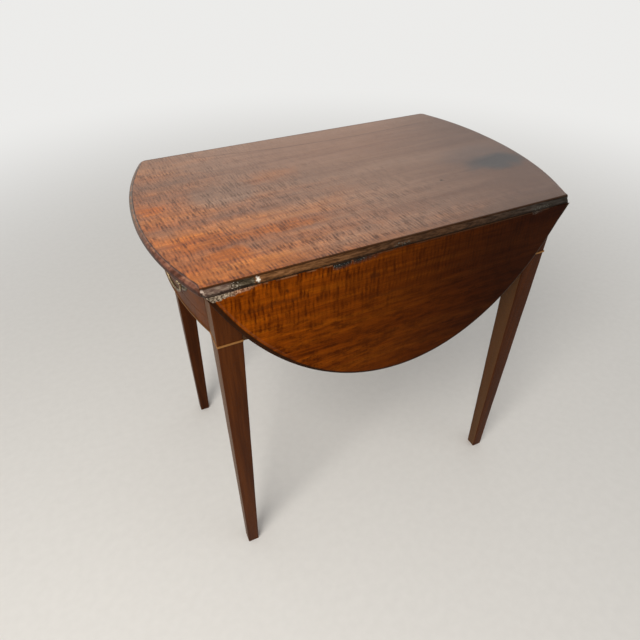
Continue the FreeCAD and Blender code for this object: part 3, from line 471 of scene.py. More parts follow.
def rippled(finish, colour, figure, strength):
    """A board's colour with the fiddleback lines darkened and the bands between them lifted."""
    bands = finish.ramp(figure, (0.18, (0.34, 0.27, 0.22)), (0.50, (0.96, 0.95, 0.94)),
                        (0.82, (1.36, 1.32, 1.26)))
    return finish.tint(strength, colour, bands)


def top_finish(name, gloss):
    """Worn, polished mahogany: orange with fiddleback figure at the near drawer corner, elsewhere a greyish
    mauve that is partly bloom and partly a painted reflection of a pale sheen, with painted shade towards
    the blind end's near corner, a painted pale sheen across the far middle, a stain, spots, a crack along
    the grain, dark edges and a chipped rule joint."""
    finish = Finish(name)
    place = finish.place()
    along, across, _ = finish.split(place)
    lines = grain(finish, place)
    wood = finish.tones(lines["tone"], (0.250, 0.062, 0.010), (0.425, 0.124, 0.019), (0.600, 0.212, 0.038))
    # Greyish mauve: partly bloom of the polish and partly a painted reflection of a pale sheen laid into the
    # colour; towards the near drawer corner the orange wood shows instead
    bloom_and_painted_sheen = finish.tones(lines["tone"], (0.205, 0.113, 0.077), (0.268, 0.163, 0.115),
                           (0.325, 0.210, 0.155))
    glow = along * -1.0 + across * -1.1 + lines["broad"] * 0.45
    worn = glow - 0.23 + finish.noise(place, (10, 26, 26), 4.0, 0.62) * 0.46
    loose = finish.frayed(place, 30.0, 0.012)
    for x, y, reach_x, reach_y, strength in TOP_GLOWS:
        worn = worn + finish.patch(loose, (x, y, SURFACE), (reach_x, reach_y, 0.1)) * strength
    colour = finish.mix(finish.span(worn, 0.86, 0.20, 0.04, 0.98), wood, bloom_and_painted_sheen)
    tints_and_painted_light = {
        # Painted shade towards the blind end's near corner
        (0.55, 0.53, 0.55): finish.span(across * -0.45 + along, 0.05, 0.40),
        (0.93, 0.86, 0.78): finish.span(along, -0.16, -0.36),
        (0.84, 0.84, 0.82): finish.span(across, -0.180, -0.222),
        # A painted pale sheen, a reflection, across the far middle
        (1.14, 1.10, 1.08): finish.patch(place, (0.02, 0.20, SURFACE), (0.36, 0.20, 0.2)),
    }
    for tint, share in tints_and_painted_light.items():
        colour = finish.tint(share, colour, tint)
    figure = ripple(finish, place, 0.10, 0.0056)
    broken = finish.span(finish.noise(place, (17, 70, 70), 3.0, 0.6), 0.34, 0.62, 0.25, 1.0)
    colour = rippled(finish, colour, figure, finish.span(glow, 0.02, 0.62, 0.14, 1.0) * broken)
    colour = finish.mix(lines["pores"] * 0.30, colour, (0.05, 0.022, 0.012))
    colour = top_marks(finish, place, colour)
    colour = top_edges(finish, place, lines, colour)
    colour = joint_wear(finish, place, colour)
    rough = lines["streak"] * 0.24 + 0.24
    relief = lines["fine"] * 0.5 + figure * 0.20 - lines["pores"] * 0.6
    return finish.done(colour, rough, relief, 0.00018, Specular_IOR_Level=gloss)


def top_marks(finish, place, colour):
    """The stain, the spots and the crack, whose line is a shallow parabola along the board."""
    along, across, _ = finish.split(place)
    loose = finish.frayed(place, 28.0, 0.016)
    halo = finish.patch(loose, (0.285, -0.030, SURFACE), (0.110, 0.075, 0.050))
    stain = finish.patch(loose, (0.300, -0.060, SURFACE), (0.085, 0.040, 0.040))
    colour = finish.mix(halo * 0.35, colour, (0.115, 0.092, 0.088))
    colour = finish.mix(stain * 0.90, colour, (0.062, 0.060, 0.062))
    crumbled = finish.frayed(place, 160.0, 0.002)
    for x, y, reach_x, reach_y, strength in TOP_SPOTS:
        spot = finish.patch(crumbled, (x, y, SURFACE), (reach_x, reach_y, 0.01))
        colour = finish.mix(spot * strength, colour, (0.055, 0.036, 0.030))
    shifted = along - 0.10
    line = shifted * shifted * 0.28 + 0.1625 + finish.noise(place, (24, 1, 1), 3.0) * 0.006
    away = finish.work("ABSOLUTE", across - line)
    crack = finish.span(away, 0.0011, 0.0003) * finish.between(along, -0.235, 0.285, 0.03) * 0.72
    return finish.mix(crack, colour, (0.060, 0.034, 0.026))


def top_edges(finish, place, lines, colour):
    """The nosed ends: an uneven dark line round the flat, a crest that is partly rubbed and partly a painted
    highlight, red-brown below it, greyer at the far side with a painted reflection, painted shade at the
    foot of the nosing, and a bare underside."""
    across = finish.split(place)[1]
    rim = finish.mark("rim")
    edge = finish.tones(lines["streak"], (0.065, 0.024, 0.014), (0.125, 0.047, 0.029),
                        (0.210, 0.088, 0.058))
    # Greyer towards the far side: a painted reflection of a pale sheen
    edge = finish.mix(finish.span(across, -0.14, 0.05), edge, (0.150, 0.115, 0.092))
    colour = finish.mix(finish.span(rim, 0.04, 0.20), colour, edge)
    patchy = finish.noise(place, (55, 55, 55), 4.0, 0.65)
    # The crest: partly rubbed polish, partly a painted highlight
    crest = finish.between(rim, 0.26, 0.48, 0.10) * finish.span(patchy, 0.46, 0.60) * 0.85
    colour = finish.mix(crest, colour, (0.350, 0.165, 0.092))
    line = finish.between(rim, 0.05, 0.20, 0.05) * finish.span(patchy, 0.62, 0.42, 0.30, 0.95)
    colour = finish.mix(line, colour, (0.036, 0.015, 0.009))
    # Painted shade at the foot of the nosing
    colour = finish.mix(finish.span(rim, 0.72, 0.98, 0.0, 0.7), colour, (0.030, 0.014, 0.010))
    return finish.mix(finish.span(rim, 1.55, 1.85), colour, finish.tones(lines["streak"], *BARE_WOOD))


def joint_wear(finish, place, colour):
    """Both rule joints: a dark line along the arris and its fillet, partly dirt and partly painted
    shadow, and a brown ovolo that darkens to the blind end, with painted shadow of the gap at its foot. On
    the near one, a mauve and an olive-black worn stretch, specks and pale chips."""
    along, across, height = finish.split(place)
    worn_along, _, worn_height = finish.split(finish.frayed(place, 230.0, 0.0016))
    off = finish.work("ABSOLUTE", across)
    side = finish.span(off, JOINT_LINE - 0.0005, JOINT_LINE - 0.0001)
    near = side * finish.span(across, 0.0, -0.1)
    below = finish.span(height, SURFACE - 0.0004, SURFACE - 0.0010)
    clouds = finish.noise(place, (60, 300, 300), 4.0, 0.65)
    ovolo = finish.tones(clouds, (0.055, 0.021, 0.007), (0.120, 0.052, 0.018), (0.205, 0.094, 0.038))
    ovolo = finish.tint(finish.span(along, -0.20, -0.01), ovolo, (0.40, 0.42, 0.50))
    ovolo = finish.tint(finish.span(along, 0.04, 0.30), ovolo, (0.50, 0.85, 1.50))
    colour = finish.mix(side * below, colour, ovolo)
    mauve = finish.tones(clouds, (0.070, 0.042, 0.034), (0.140, 0.092, 0.072), (0.240, 0.185, 0.140))
    olive = finish.tones(clouds, (0.012, 0.010, 0.006), (0.040, 0.033, 0.020), (0.130, 0.110, 0.075))
    missing = finish.mix(finish.span(worn_along, -0.285, -0.272), mauve, olive)
    speckle = finish.noise(place, (500, 500, 500), 2.0, 0.6)
    specks = finish.between(worn_along, -0.283, -0.268, 0.004)
    missing = finish.mix(specks * finish.span(speckle, 0.48, 0.40), missing, (0.010, 0.008, 0.006))
    missing = finish.mix(specks * finish.span(speckle, 0.58, 0.66), missing, (0.450, 0.400, 0.330))
    stretch = near * below * finish.between(worn_along, -0.3300, -0.2465, 0.0014)
    colour = finish.mix(stretch * 0.92, colour, missing)
    for middle, half, _ in OVOLO_CHIPS[2:]:
        chip = near * below * finish.between(worn_along, middle - half, middle + half, 0.004)
        chip = chip * finish.span(height, AXIS_HEIGHT + 0.0068, AXIS_HEIGHT + 0.0050)
        colour = finish.mix(chip * finish.span(speckle, 0.50, 0.60) * 0.6, colour, (0.110, 0.110, 0.092))
    # Painted shadow of the gap between the ovolo and the leaf's lip, at the ovolo's foot
    foot = side * finish.span(worn_height, AXIS_HEIGHT + 0.0034, AXIS_HEIGHT + 0.0014)
    colour = finish.mix(foot * 0.80, colour, (0.014, 0.008, 0.005))
    # The dark line along the arris and the fillet: partly dirt and dark polish, partly painted shadow of the step
    fillet = finish.span(height, FILLET_FOOT - 0.0002, FILLET_FOOT + 0.0010)
    line = finish.span(off, JOINT_LINE - 0.0034, JOINT_LINE - 0.0014) * fillet * 0.90
    colour = finish.mix(line, colour, (0.030, 0.012, 0.004))
    crumbled = finish.frayed(place, 300.0, 0.0022)
    for middle, rise, reach, tint in JOINT_CHIPS:
        chip = finish.patch(crumbled, (middle, -JOINT_LINE - 0.005, AXIS_HEIGHT + rise), reach)
        colour = finish.mix(near * chip, colour, tint)
    return colour


def leaf_finish():
    """Golden-brown fiddleback mahogany, darker and redder to one end and towards its foot at the drawer end
    with painted shade, with dark streaks and a dark rim of painted shade, a rubbed lip, and raw wood or old
    filler where the lip is broken."""
    finish = Finish("mahogany_leaf")
    place = finish.mark("board", "Vector")
    along, out, _ = finish.split(place)
    lines = grain(finish, place)
    colour = finish.tones(lines["tone"], (0.105, 0.0185, 0.0003), (0.215, 0.044, 0.0007),
                          (0.335, 0.083, 0.0016))
    # Painted shade: the leaf darkens towards the blind end as the light falls off, and the figure's contrast below
    # follows it
    shade = finish.span(along - out * 0.04 + lines["broad"] * 0.22, -0.30, 0.34)
    colour = finish.tint(shade, colour, (0.115, 0.115, 1.0))
    # Painted shade towards the leaf's foot at the drawer end
    lower = finish.span(out, 0.05, 0.20) * finish.span(along, 0.05, -0.12)
    colour = finish.tint(lower, colour, (0.86, 0.86, 0.86))
    figure = ripple(finish, place, 0.03, 0.0066)
    mottle = finish.span(finish.noise(place, (38, 120, 120), 4.0, 0.65), 0.30, 0.70)
    plainer = finish.span(lines["broad"] * 0.10 + out, 0.08, 0.17, 0.0, 0.80)
    figure = (mottle - figure) * plainer + figure
    patches = finish.span(shade * 0.8 + out - lines["streak"] * 0.6, -0.25, 0.45, 1.0, 0.50)
    broken = finish.span(finish.noise(place, (16, 40, 40), 3.0, 0.6), 0.34, 0.60, 0.45, 1.0)
    colour = rippled(finish, colour, figure, patches * broken)
    colour = finish.mix(lines["pores"] * 0.35, colour, (0.02, 0.006, 0.001))
    loose = finish.frayed(place, 40.0, 0.006)
    for x, y, reach_x, reach_y, strength in LEAF_STREAKS:
        streak = finish.patch(loose, (x, y, LEAF_FACE), (reach_x, reach_y, 0.02))
        colour = finish.mix(streak * strength, colour, (0.040, 0.010, 0.002))
    colour = leaf_edges(finish, place, lines, colour)
    relief = lines["fine"] * 0.5 + figure * 0.20
    return finish.done(colour, lines["streak"] * 0.2 + 0.28, relief, 0.00018, Specular_IOR_Level=0.02)


def leaf_edges(finish, place, lines, colour):
    """The rim, told by the ellipse's own sum of squares, the rubbed lip, the breaks and the bare
    underside."""
    along, out, height = finish.split(place)
    wide = along / LEAF_HALF_LENGTH
    deep = (out + JOINT_LINE) / LEAF_HALF_WIDTH
    squares = wide * wide + deep * deep
    rosy = finish.between(squares, 0.942, 0.954, 0.005) * finish.span(along, -0.17, -0.26) * 0.30
    colour = finish.mix(rosy, colour, (0.160, 0.060, 0.030))
    # Painted shade: a dark band round the leaf's rounded rim
    started = squares - finish.span(along, -0.26, -0.12) * 0.014
    colour = finish.mix(finish.span(started, 0.956, 0.968, 0.0, 0.93), colour, (0.016, 0.007, 0.003))
    rubbed = finish.between(squares, 0.984, 0.993, 0.003) * finish.span(along, -0.12, 0.0) * 0.40
    colour = finish.mix(rubbed, colour, (0.110, 0.070, 0.032))
    under = finish.span(height, LEAF_UNDER + 0.0015, LEAF_UNDER + 0.0004)
    colour = finish.mix(under, colour, finish.tones(lines["streak"], *BARE_WOOD))
    patchy = finish.span(finish.noise(place, (70, 15, 15), 3.0, 0.6), 0.42, 0.60)
    patchy = finish.work("MAXIMUM", patchy, finish.between(along, 0.03, 0.24, 0.02) * 0.75)
    arris = finish.span(height, LEAF_FACE - 0.0025, LEAF_FACE - 0.0008)
    lip = finish.span(out, LIP_GAP + 0.0017, LIP_GAP + 0.0006) * patchy * arris * 0.8
    rubbed = finish.mix(finish.span(along, -0.21, 0.0), (0.210, 0.105, 0.050), (0.060, 0.028, 0.013))
    colour = finish.mix(lip, colour, rubbed)
    speckle = finish.noise(place, (380, 380, 380), 3.0, 0.7)
    pale = finish.ramp(speckle, (0.37, (0.020, 0.018, 0.013)), (0.49, (0.190, 0.140, 0.095)),
                       (0.66, (0.440, 0.360, 0.275)))
    fresh = finish.ramp(speckle, (0.40, (0.100, 0.036, 0.018)), (0.62, (0.400, 0.220, 0.130)))
    pale = finish.mix(finish.span(along, -0.290, -0.268), pale, fresh)
    dark = finish.ramp(speckle, (0.46, (0.012, 0.011, 0.010)), (0.58, (0.040, 0.038, 0.034)),
                       (0.70, (0.150, 0.142, 0.120)))
    broken, paleness, _ = finish.split(finish.mark("broken", "Vector"))
    return finish.mix(broken, colour, finish.mix(paleness, dark, pale))


def plain_finish(name, axis, dark, middle, light, rough, pores):
    """A plain board: streaks and pores along its grain, paler with painted light where the mesh marks it."""
    finish = Finish(name)
    lines = grain(finish, grain_first(finish, axis))
    colour = finish.tones(lines["tone"], dark, middle, light)
    colour = finish.mix(lines["pores"] * pores, colour, tuple(0.3 * part for part in dark))
    # Painted light: the marked faces made paler
    faded = finish.mark("faded") * finish.span(lines["broad"], 0.30, 0.60, 0.45, 0.75)
    colour = finish.mix(faded, colour, PAINTED_LIGHT_WOOD)
    relief = lines["fine"] - lines["pores"] * 0.7
    return finish.done(colour, lines["streak"] * 0.2 + rough, relief, 0.0002, Specular_IOR_Level=0.04)


def brass_finish():
    """Dull lacquered brass: olive-gold metal with brown tarnish in clouds and in the hollows."""
    finish = Finish("brass")
    place = finish.place()
    clouds = finish.noise(place, (160, 160, 160), 4.0, 0.6)
    metal = finish.ramp(clouds, (0.35, (0.10, 0.073, 0.038)), (0.50, (0.27, 0.200, 0.118)),
                        (0.66, (0.45, 0.350, 0.220)))
    metal = finish.mix(finish.mark("hollow") * 0.85, metal, (0.035, 0.026, 0.014))
    scratches = finish.noise(place, (900, 900, 900))
    return finish.done(metal, finish.span(clouds, 0.3, 0.7, 0.55, 0.30), scratches, 0.0001, Metallic=1.0)


def iron_finish():
    """Old wrought iron: dark brown metal with rusty clouds."""
    finish = Finish("iron")
    clouds = finish.noise(finish.place(), (140, 140, 140), 4.0, 0.65)
    metal = finish.ramp(clouds, (0.38, (0.055, 0.048, 0.044)), (0.55, (0.10, 0.075, 0.055)),
                        (0.70, (0.20, 0.10, 0.05)))
    return finish.done(metal, finish.span(clouds, 0.3, 0.7, 0.45, 0.75), clouds, 0.0003, Metallic=0.7)


made_finishes = {}


def finish_for(slot, axis="X"):
    """The material of a slot, made once for each direction of the grain."""
    key = f"{slot}_{axis}" if slot in PLAIN_WOODS else slot
    if key not in made_finishes:
        if slot in PLAIN_WOODS:
            made_finishes[key] = plain_finish(key, axis, *PLAIN_WOODS[slot])
        elif slot in TOP_GLOSS:
            made_finishes[key] = top_finish(slot, TOP_GLOSS[slot])
        else:
            makers = {"mahogany_leaf": leaf_finish, "brass": brass_finish, "iron": iron_finish}
            made_finishes[key] = makers[slot]()
    return made_finishes[key]


# Pieces


def top_board():
    """The top as level rings, one for each place across it: out along its own ellipse, with nosed ends
    and rounded corners, flat to the fillets, then down each ovolo, a quarter circle about the hinge
    line."""
    bend = np.linspace(JOINT_LINE - FLAT_BEND, JOINT_LINE - FILLET_ROUND, 9)
    flat = np.concatenate([np.linspace(0, bend[0], 32), bend[1:]])
    brow = np.linspace(0, np.pi / 2, 5)[1:]
    quarter = np.linspace(0, np.pi / 2, 16)
    across = np.concatenate([flat, JOINT_LINE - FILLET_ROUND * (1 - np.sin(brow)),
                             JOINT_LINE + OVOLO * np.sin(quarter)])
    high = np.concatenate([np.full(len(flat), SURFACE), SURFACE - FILLET_ROUND * (1 - np.cos(brow)),
                           AXIS_HEIGHT + OVOLO * np.cos(quarter)])
    low = np.full(len(across), UNDERSIDE)
    low[-len(quarter):] = np.maximum(UNDERSIDE, AXIS_HEIGHT - OVOLO * np.cos(quarter))
    near, far = (corner_round(across, CORNER_ROUND[side]) for side in SIDES)
    cut_back = both_ways(near, far)
    across, high, low = both_ways(-across, across), both_ways(high, high), both_ways(low, low)
    share = np.sqrt(1 - (across / TOP_HALF_WIDTH) ** 2)
    lean = np.hypot(share / HALF_LENGTH, across / TOP_HALF_WIDTH ** 2) / (share / HALF_LENGTH)
    room = ROOM_SHARE * (high - low) / 2
    drop = np.minimum(NOSING_DROP * (1 + 0.12 * wander(across, 3, 0.3, 0.02)), room)
    blunt = 1 - (1 - CORNER_NOSING_SHARE) * smooth(JOINT_LINE - NOSING_EASE, JOINT_LINE, np.abs(across))
    nose = drop * NOSING_OUT / NOSING_DROP * lean * blunt
    under_round = np.minimum(UNDER_ROUND, room)
    reach = HALF_LENGTH * share - cut_back
    rings, rim = end_rings(reach, high, low, drop, nose, under_round, under_round * lean)
    rings = np.insert(rings, 1, across, axis=2)
    about = np.arcsin(np.clip((-across - JOINT_LINE) / OVOLO, 0, 1))
    dent = ovolo_dents(rings[..., 0]) * ((across < -JOINT_LINE) & (rings[..., 2] > AXIS_HEIGHT))
    rings[..., 1] += dent * np.sin(about)
    rings[..., 2] -= dent * np.cos(about)
    sag = np.cos(4.1 * rings[..., 0]) * np.sin(5.3 * rings[..., 1] + 1)
    sag += wander(rings[..., 1], 5, 0.35, 0.08)
    rings[..., 2] += SAG * sag * (rings[..., 2] > SURFACE - SURFACE_DEPTH)
    made = piece("top", rings, loft(rings), "frame", "mahogany_top", finish_for("mahogany_top"),
                 ["top_board"], rim=rim)
    board = cut_hinge_seats(made)
    board.materials.append(finish_for("mahogany_edge"))
    centres = np.empty(3 * len(board.polygons), np.float32)
    board.polygons.foreach_get("center", centres)
    _, centre_across, centre_high = centres.reshape(-1, 3).T
    edge = (np.abs(centre_across) > JOINT_LINE - EDGE_WIDTH) | (centre_high < SURFACE - EDGE_DROP)
    board.polygons.foreach_set("material_index", edge.astype(np.int32))


def both_ways(near, far):
    """A column of values across the board, from the near edge to the middle and on to the far edge."""
    return np.concatenate([near[:0:-1], far])[:, None]


def cut_hinge_seats(made):
    """Cuts the seats of both leaves' hinges into the underside: the seat's outline carried along each
    hinge."""
    off, rise = np.array(HINGE_SEAT).T
    shapes = []
    for sign in SIDES.values():
        for middle in (-HINGE_SPACING, 0.0, HINGE_SPACING):
            ends = middle + HINGE_SEAT_HALF * np.array([[-1], [1]])
            rows = np.broadcast_arrays(ends, sign * (JOINT_LINE + off), UNDERSIDE + rise)
            shapes.append(np.stack(rows, axis=-1))
    points, faces = gather(*shapes)
    cutter = solid("hinge_seats", points, faces, {"rim": np.full(len(points), 2.0)})
    seats = made.modifiers.new("seats", "BOOLEAN")
    seats.operation = "DIFFERENCE"
    seats.solver = "EXACT"
    seats.use_hole_tolerant = True
    seats.object = cutter
    graph = bpy.context.evaluated_depsgraph_get()
    cut = bpy.data.meshes.new_from_object(made.evaluated_get(graph), preserve_all_data_layers=True,
                                          depsgraph=graph)
    made.modifiers.clear()
    made.data = cut
    bpy.data.objects.remove(cutter)
    cut.set_sharp_from_angle(angle=SHARP_EDGE)
    return cut


def corner_round(across, radius):
    """How far a corner is rounded back at each place across: a quarter circle up to the hinge line."""
    past = np.clip(across - JOINT_LINE + radius, 0, radius)
    return radius - np.sqrt(radius ** 2 - past ** 2)


def end_rings(reach, high, low, drop, nose, under_round, under_in):
    """Rings of length and height: along the top, round both edges of one end, back below and round the
    other. Each end's edges are quarter ellipses. The rim counts from nought on the flat to one half way
    down and two below."""
    steps = np.unique(np.concatenate([np.linspace(-1, 1, 120), np.linspace(-1, -0.72, 90),
                                      np.linspace(-0.12, 0.04, 30), np.linspace(0.72, 0.92, 40)]))
    under_steps = np.linspace(1, -1, 60)
    turn = np.linspace(0, np.pi / 2, 10)
    upper = high - drop * (1 - np.cos(turn))
    lower = low + under_round * (1 - np.cos(turn))
    upper_out = reach - nose * (1 - np.sin(turn))
    lower_out = reach - under_in * (1 - np.sin(turn))
    length = np.concatenate([steps * (reach - nose), upper_out, lower_out[:, ::-1],
                             under_steps * (reach - under_in), -lower_out, -upper_out[:, ::-1]], axis=1)
    level = np.concatenate([high + 0 * steps, upper, lower[:, ::-1],
                            low + 0 * under_steps, lower, upper[:, ::-1]], axis=1)
    share = turn / turn[-1]
    rim = np.concatenate([0 * steps, share, 2 - share[::-1], 2 + 0 * under_steps, 2 - share, share[::-1]])
    return np.stack([length, level], axis=-1), np.broadcast_to(rim, length.shape)


def ovolo_dents(along):
    """How deep the near ovolo is chipped at each place along the hinge: a ragged parabola for each
    chip."""
    depth = OVOLO_WEAR * (1 + wander(along, 31, 0.05, 0.004))
    for middle, half, deep in OVOLO_CHIPS:
        share = np.clip(np.abs(along - middle) / half, 0, 1)
        bay = deep * np.minimum(1, 4 * (1 - share ** 2))
        depth = np.maximum(depth, bay * (1 + 0.3 * wander(along, 37, 0.02, 0.003)))
    return depth


def lip_damage(along, breaks):
    """How far the lip is broken back at each place along the hinge, a ragged bay for each break, and how
    pale."""
    depth = LIP_WEAR * (1 + wander(along, 11, 0.08, 0.004))
    paleness = np.ones(along.shape)
    ragged = 1 + 0.45 * wander(along, 13, 0.024, 0.002)
    for start, end, deep, pale in breaks:
        share = np.clip((along - start) / (end - start), 0, 1)
        fade = smooth(0, 0.06, share) * smooth(1, 0.9, share)
        bay = deep * (1 - share) ** (0.5 + 0.5 * pale) * fade * ragged
        paleness = np.where(bay > depth, pale, paleness)
        depth = np.maximum(depth, bay)
    return depth, paleness


def leaf(side, breaks):
    """A leaf as rings along the hinge: face, lip, cove and underside out to the ellipse, hung about the
    hinge."""
    corner = LEAF_HALF_LENGTH * math.sqrt(1 - ((JOINT_LINE + LIP_GAP) / LEAF_HALF_WIDTH) ** 2)
    along = corner * np.sin(np.linspace(-np.pi / 2, np.pi / 2, 520))[:, None]
    share = np.sqrt(1 - (along / LEAF_HALF_LENGTH) ** 2)
    edge = LEAF_HALF_WIDTH * share - JOINT_LINE
    lean = np.hypot(1, LEAF_HALF_WIDTH * along / LEAF_HALF_LENGTH ** 2 / share)
    width = edge - LIP_GAP
    whole = smooth(*COVE_FADE, edge)
    inner = np.minimum(edge, COVE)
    low = LEAF_UNDER + (np.sqrt(COVE ** 2 - inner ** 2) - LEAF_UNDER) * (1 - whole)
    cove_end = np.arcsin(inner / COVE) * (1 - whole) + np.arccos(LEAF_UNDER / COVE) * whole
    depth, paleness = lip_damage(along, breaks)
    depth = np.minimum(depth, 0.5 * width)
    lip = LIP_GAP + depth
    foot = LIP_GAP + np.where(depth > BROKEN_FROM, 0.5 - 0.36 * paleness, 0.5) * depth
    cove_start = np.arcsin(np.minimum(foot, 0.98 * inner) / COVE)
    room = np.minimum(0.3 * width / lean, 0.45 * (LEAF_FACE - low))
    drop = np.minimum(RIM_DROP, room)
    under_round = whole * np.minimum(UNDER_ROUND, room)
    turn = np.linspace(0, np.pi / 2, 8)
    rim_high = LEAF_FACE - drop * (1 - np.cos(turn))
    rim_high_out = edge - drop * RIM_OUT / RIM_DROP * lean * (1 - np.sin(turn))
    rim_low = low + under_round * (1 - np.cos(turn))
    rim_low_out = edge - under_round * lean * (1 - np.sin(turn))
    steps = np.linspace(0, 1, 30)
    inward = rim_high_out[:, :1] + (lip - rim_high_out[:, :1]) * steps
    tear = np.linspace(0, 1, 7)[1:-1]
    rough = 0.35 * np.minimum(depth, 0.002) * wander(along + 0.013 * tear, 17, 0.006, 0.0016)
    torn = lip + (foot - lip) * tear + rough
    torn_high = LEAF_FACE + (COVE * np.cos(cove_start) - LEAF_FACE) * tear
    sweep = cove_start + (cove_end - cove_start) * np.linspace(0, 1, 14)
    cove_out = COVE * np.sin(sweep)
    cove_high = COVE * np.cos(sweep)
    under_steps = np.linspace(0, 1, 14)[1:-1]
    outward = cove_out[:, -1:] + (rim_low_out[:, :1] - cove_out[:, -1:]) * under_steps
    outward_high = cove_high[:, -1:] + (rim_low[:, :1] - cove_high[:, -1:]) * under_steps
    out = np.concatenate([inward, torn, cove_out, outward, rim_low_out, rim_high_out[:, ::-1]], axis=1)
    high = np.concatenate([LEAF_FACE + 0 * inward, torn_high, cove_high, outward_high, rim_low,
                           rim_high[:, ::-1]], axis=1)
    board = np.stack([along + 0 * out, out, high], axis=-1)
    hung = np.stack([board[..., 0],
                     SIDES[side] * (JOINT_LINE + out * math.cos(HANG) + high * math.sin(HANG)),
                     AXIS_HEIGHT - out * math.sin(HANG) + high * math.cos(HANG)], axis=-1)
    broken = np.zeros(out.shape)
    first = len(steps) - 1
    broken[:, first:first + len(tear) + 2] = smooth(BROKEN_FROM, 3 * BROKEN_FROM, depth)
    broken = np.stack([broken, paleness + 0 * out, 0 * out], axis=-1)
    node = f"{side}_leaf"
    piece(f"{node}_board", hung, loft(hung), node, "mahogany_leaf", finish_for("mahogany_leaf"), [node],
          board=board, broken=broken)


def leg(end, side):
    """A leg as rounded squares: upright to the collar, then tapering to the foot, its arrises worn
    unevenly and its faces towards the drawer end paler with painted light."""
    name = f"leg_{end}_{side}"
    taper_high = np.linspace(TAPER_START, COLLAR_FOOT, 60)
    height = np.concatenate([[0, FOOT_CHAMFER], taper_high, [POST_HIGH.z]])[:, None]
    taper = np.clip(1 - height / COLLAR_FOOT, 0, 1)
    half = POST_SQUARE / 2 + (FOOT_SQUARE - POST_SQUARE) / 2 * taper
    half[0] -= FOOT_CHAMFER
    outer_x = POST_LOW.x + POST_SQUARE + FOOT_SPLAY * taper
    outer_y = POST_HIGH.y - FOOT_SPLAY / 2 * taper
    centre = np.concatenate([ENDS[end] * (outer_x - half), SIDES[side] * (outer_y - half)], axis=1)
    centre[0] = centre[1]
    quarter = np.linspace(0, np.pi / 2, 5)
    angle = (np.arange(4)[:, None] * np.pi / 2 + quarter).ravel()
    corner = np.repeat(np.arange(4), len(quarter))
    sign_x = np.array([1, -1, -1, 1])[corner]
    sign_y = np.array([1, 1, -1, -1])[corner]
    seed = 20 + 2 * ENDS[end] + SIDES[side]
    arris = LEG_ROUND * (1 + 0.5 * wander(height + 0.9 * corner, seed, 0.25, 0.012))
    across = centre[:, :1] + sign_x * (half - arris) + arris * np.cos(angle)
    deep = centre[:, 1:] + sign_y * (half - arris) + arris * np.sin(angle)
    rings = np.stack([across, deep, height + 0 * across], axis=-1)
    # Painted light on the faces towards the drawer end
    faded = (np.cos(angle) < -0.98) + 0 * across
    piece(f"{name}_post", rings, loft(rings, True), "frame", "mahogany_leg",
          finish_for("mahogany_leg", "Z"), [name], faded=faded)


def handle_place(joint):
    """The foot of a handle on the bowed end, the line along it and the line out of it, from its bail's
    hinge."""
    tangent = np.array(JOINTS[joint]["axis"], float)
    tangent /= np.linalg.norm(tangent)
    pivot = np.array(JOINTS[joint]["pos_m"], float)
    out = np.cross((0, 0, 1), tangent)
    out *= np.sign(out @ pivot)
    return pivot - HANDLE_STAND * out, tangent, out


def set_out(place, along, up, out):
    """Points by their distance along, up and out from a handle's foot."""
    base, tangent, outward = place
    points = base + np.multiply.outer(along, tangent) + np.multiply.outer(out, outward)
    points[..., 2] += up
    return points


def backplate(place):
    """A stamped oval plate bent to the bow: rings from the middle to the rim, with a domed field, a
    hollow and a bead."""
    share = PLATE_SHARES[:, None]
    dome = PLATE_DOME * np.clip(1 - (share / 0.6) ** 2, 0, 1)
    bead = PLATE_BEAD * np.exp(-((share - 0.86) / 0.055) ** 2)
    ridge = PLATE_RIDGE * np.exp(-((share - 0.64) / 0.03) ** 2)
    hollow = PLATE_HOLLOW * smooth(0.6, 0.72, share) * smooth(0.8, 0.74, share)
    raised = PLATE_BASE + dome + bead + ridge - hollow
    raised[-3] = PLATE_EDGE
    raised[-2:] = 0.0
    angle = circle(PLATE_POINTS)
    scallop = 1 + 0.012 * np.cos(32 * angle) * smooth(0.9, 1.0, share)
    along = PLATE_HALF_LENGTH * share * np.cos(angle) * scallop
    up = PLATE_HALF_HEIGHT * share * np.sin(angle) * scallop - PLATE_DROP
    return set_out(place, along, up, raised - along ** 2 / (2 * BOW_RADIUS))


def post(place, along):
    """A turned post, a profile spun about the line out from the plate: a collar, a hollowed neck and a
    ball with a flat tip."""
    ball = np.linspace(-0.9, 1.15, 12)
    rounds = np.stack([POST_BALL * np.cos(ball), HANDLE_STAND + POST_BALL * np.sin(ball)], axis=-1)
    profile = np.vstack([POST_NECK, rounds, (POST_TIP, HANDLE_STAND + 0.93 * POST_BALL)])
    radius, stand = np.hsplit(profile, 2)
    angle = circle(28)
    out = stand - along ** 2 / (2 * BOW_RADIUS) + 0 * angle
    return set_out(place, along + radius * np.cos(angle), radius * np.sin(angle), out)


def bail_path():
    """The bail from one eye to the other: straight down, round a corner, along the sweep and up again."""
    corner = np.linspace(0, np.pi / 2 - BAIL_SWEEP_ANGLE, 12)
    side = BAIL_HALF_WIDTH - BAIL_CORNER * (1 - np.cos(corner))
    drop = -BAIL_STRAIGHT - BAIL_CORNER * np.sin(corner)
    sweep = np.linspace(BAIL_SWEEP_ANGLE, -BAIL_SWEEP_ANGLE, 28)
    centre = drop[-1] + BAIL_SWEEP * math.cos(BAIL_SWEEP_ANGLE)
    half_side = np.concatenate([[BAIL_HALF_WIDTH], side])
    half_drop = np.concatenate([[0], drop])
    along = np.concatenate([half_side, BAIL_SWEEP * np.sin(sweep)[1:-1], -half_side[::-1]])
    up = np.concatenate([half_drop, centre - BAIL_SWEEP * np.cos(sweep)[1:-1], half_drop[::-1]])
    return along, up


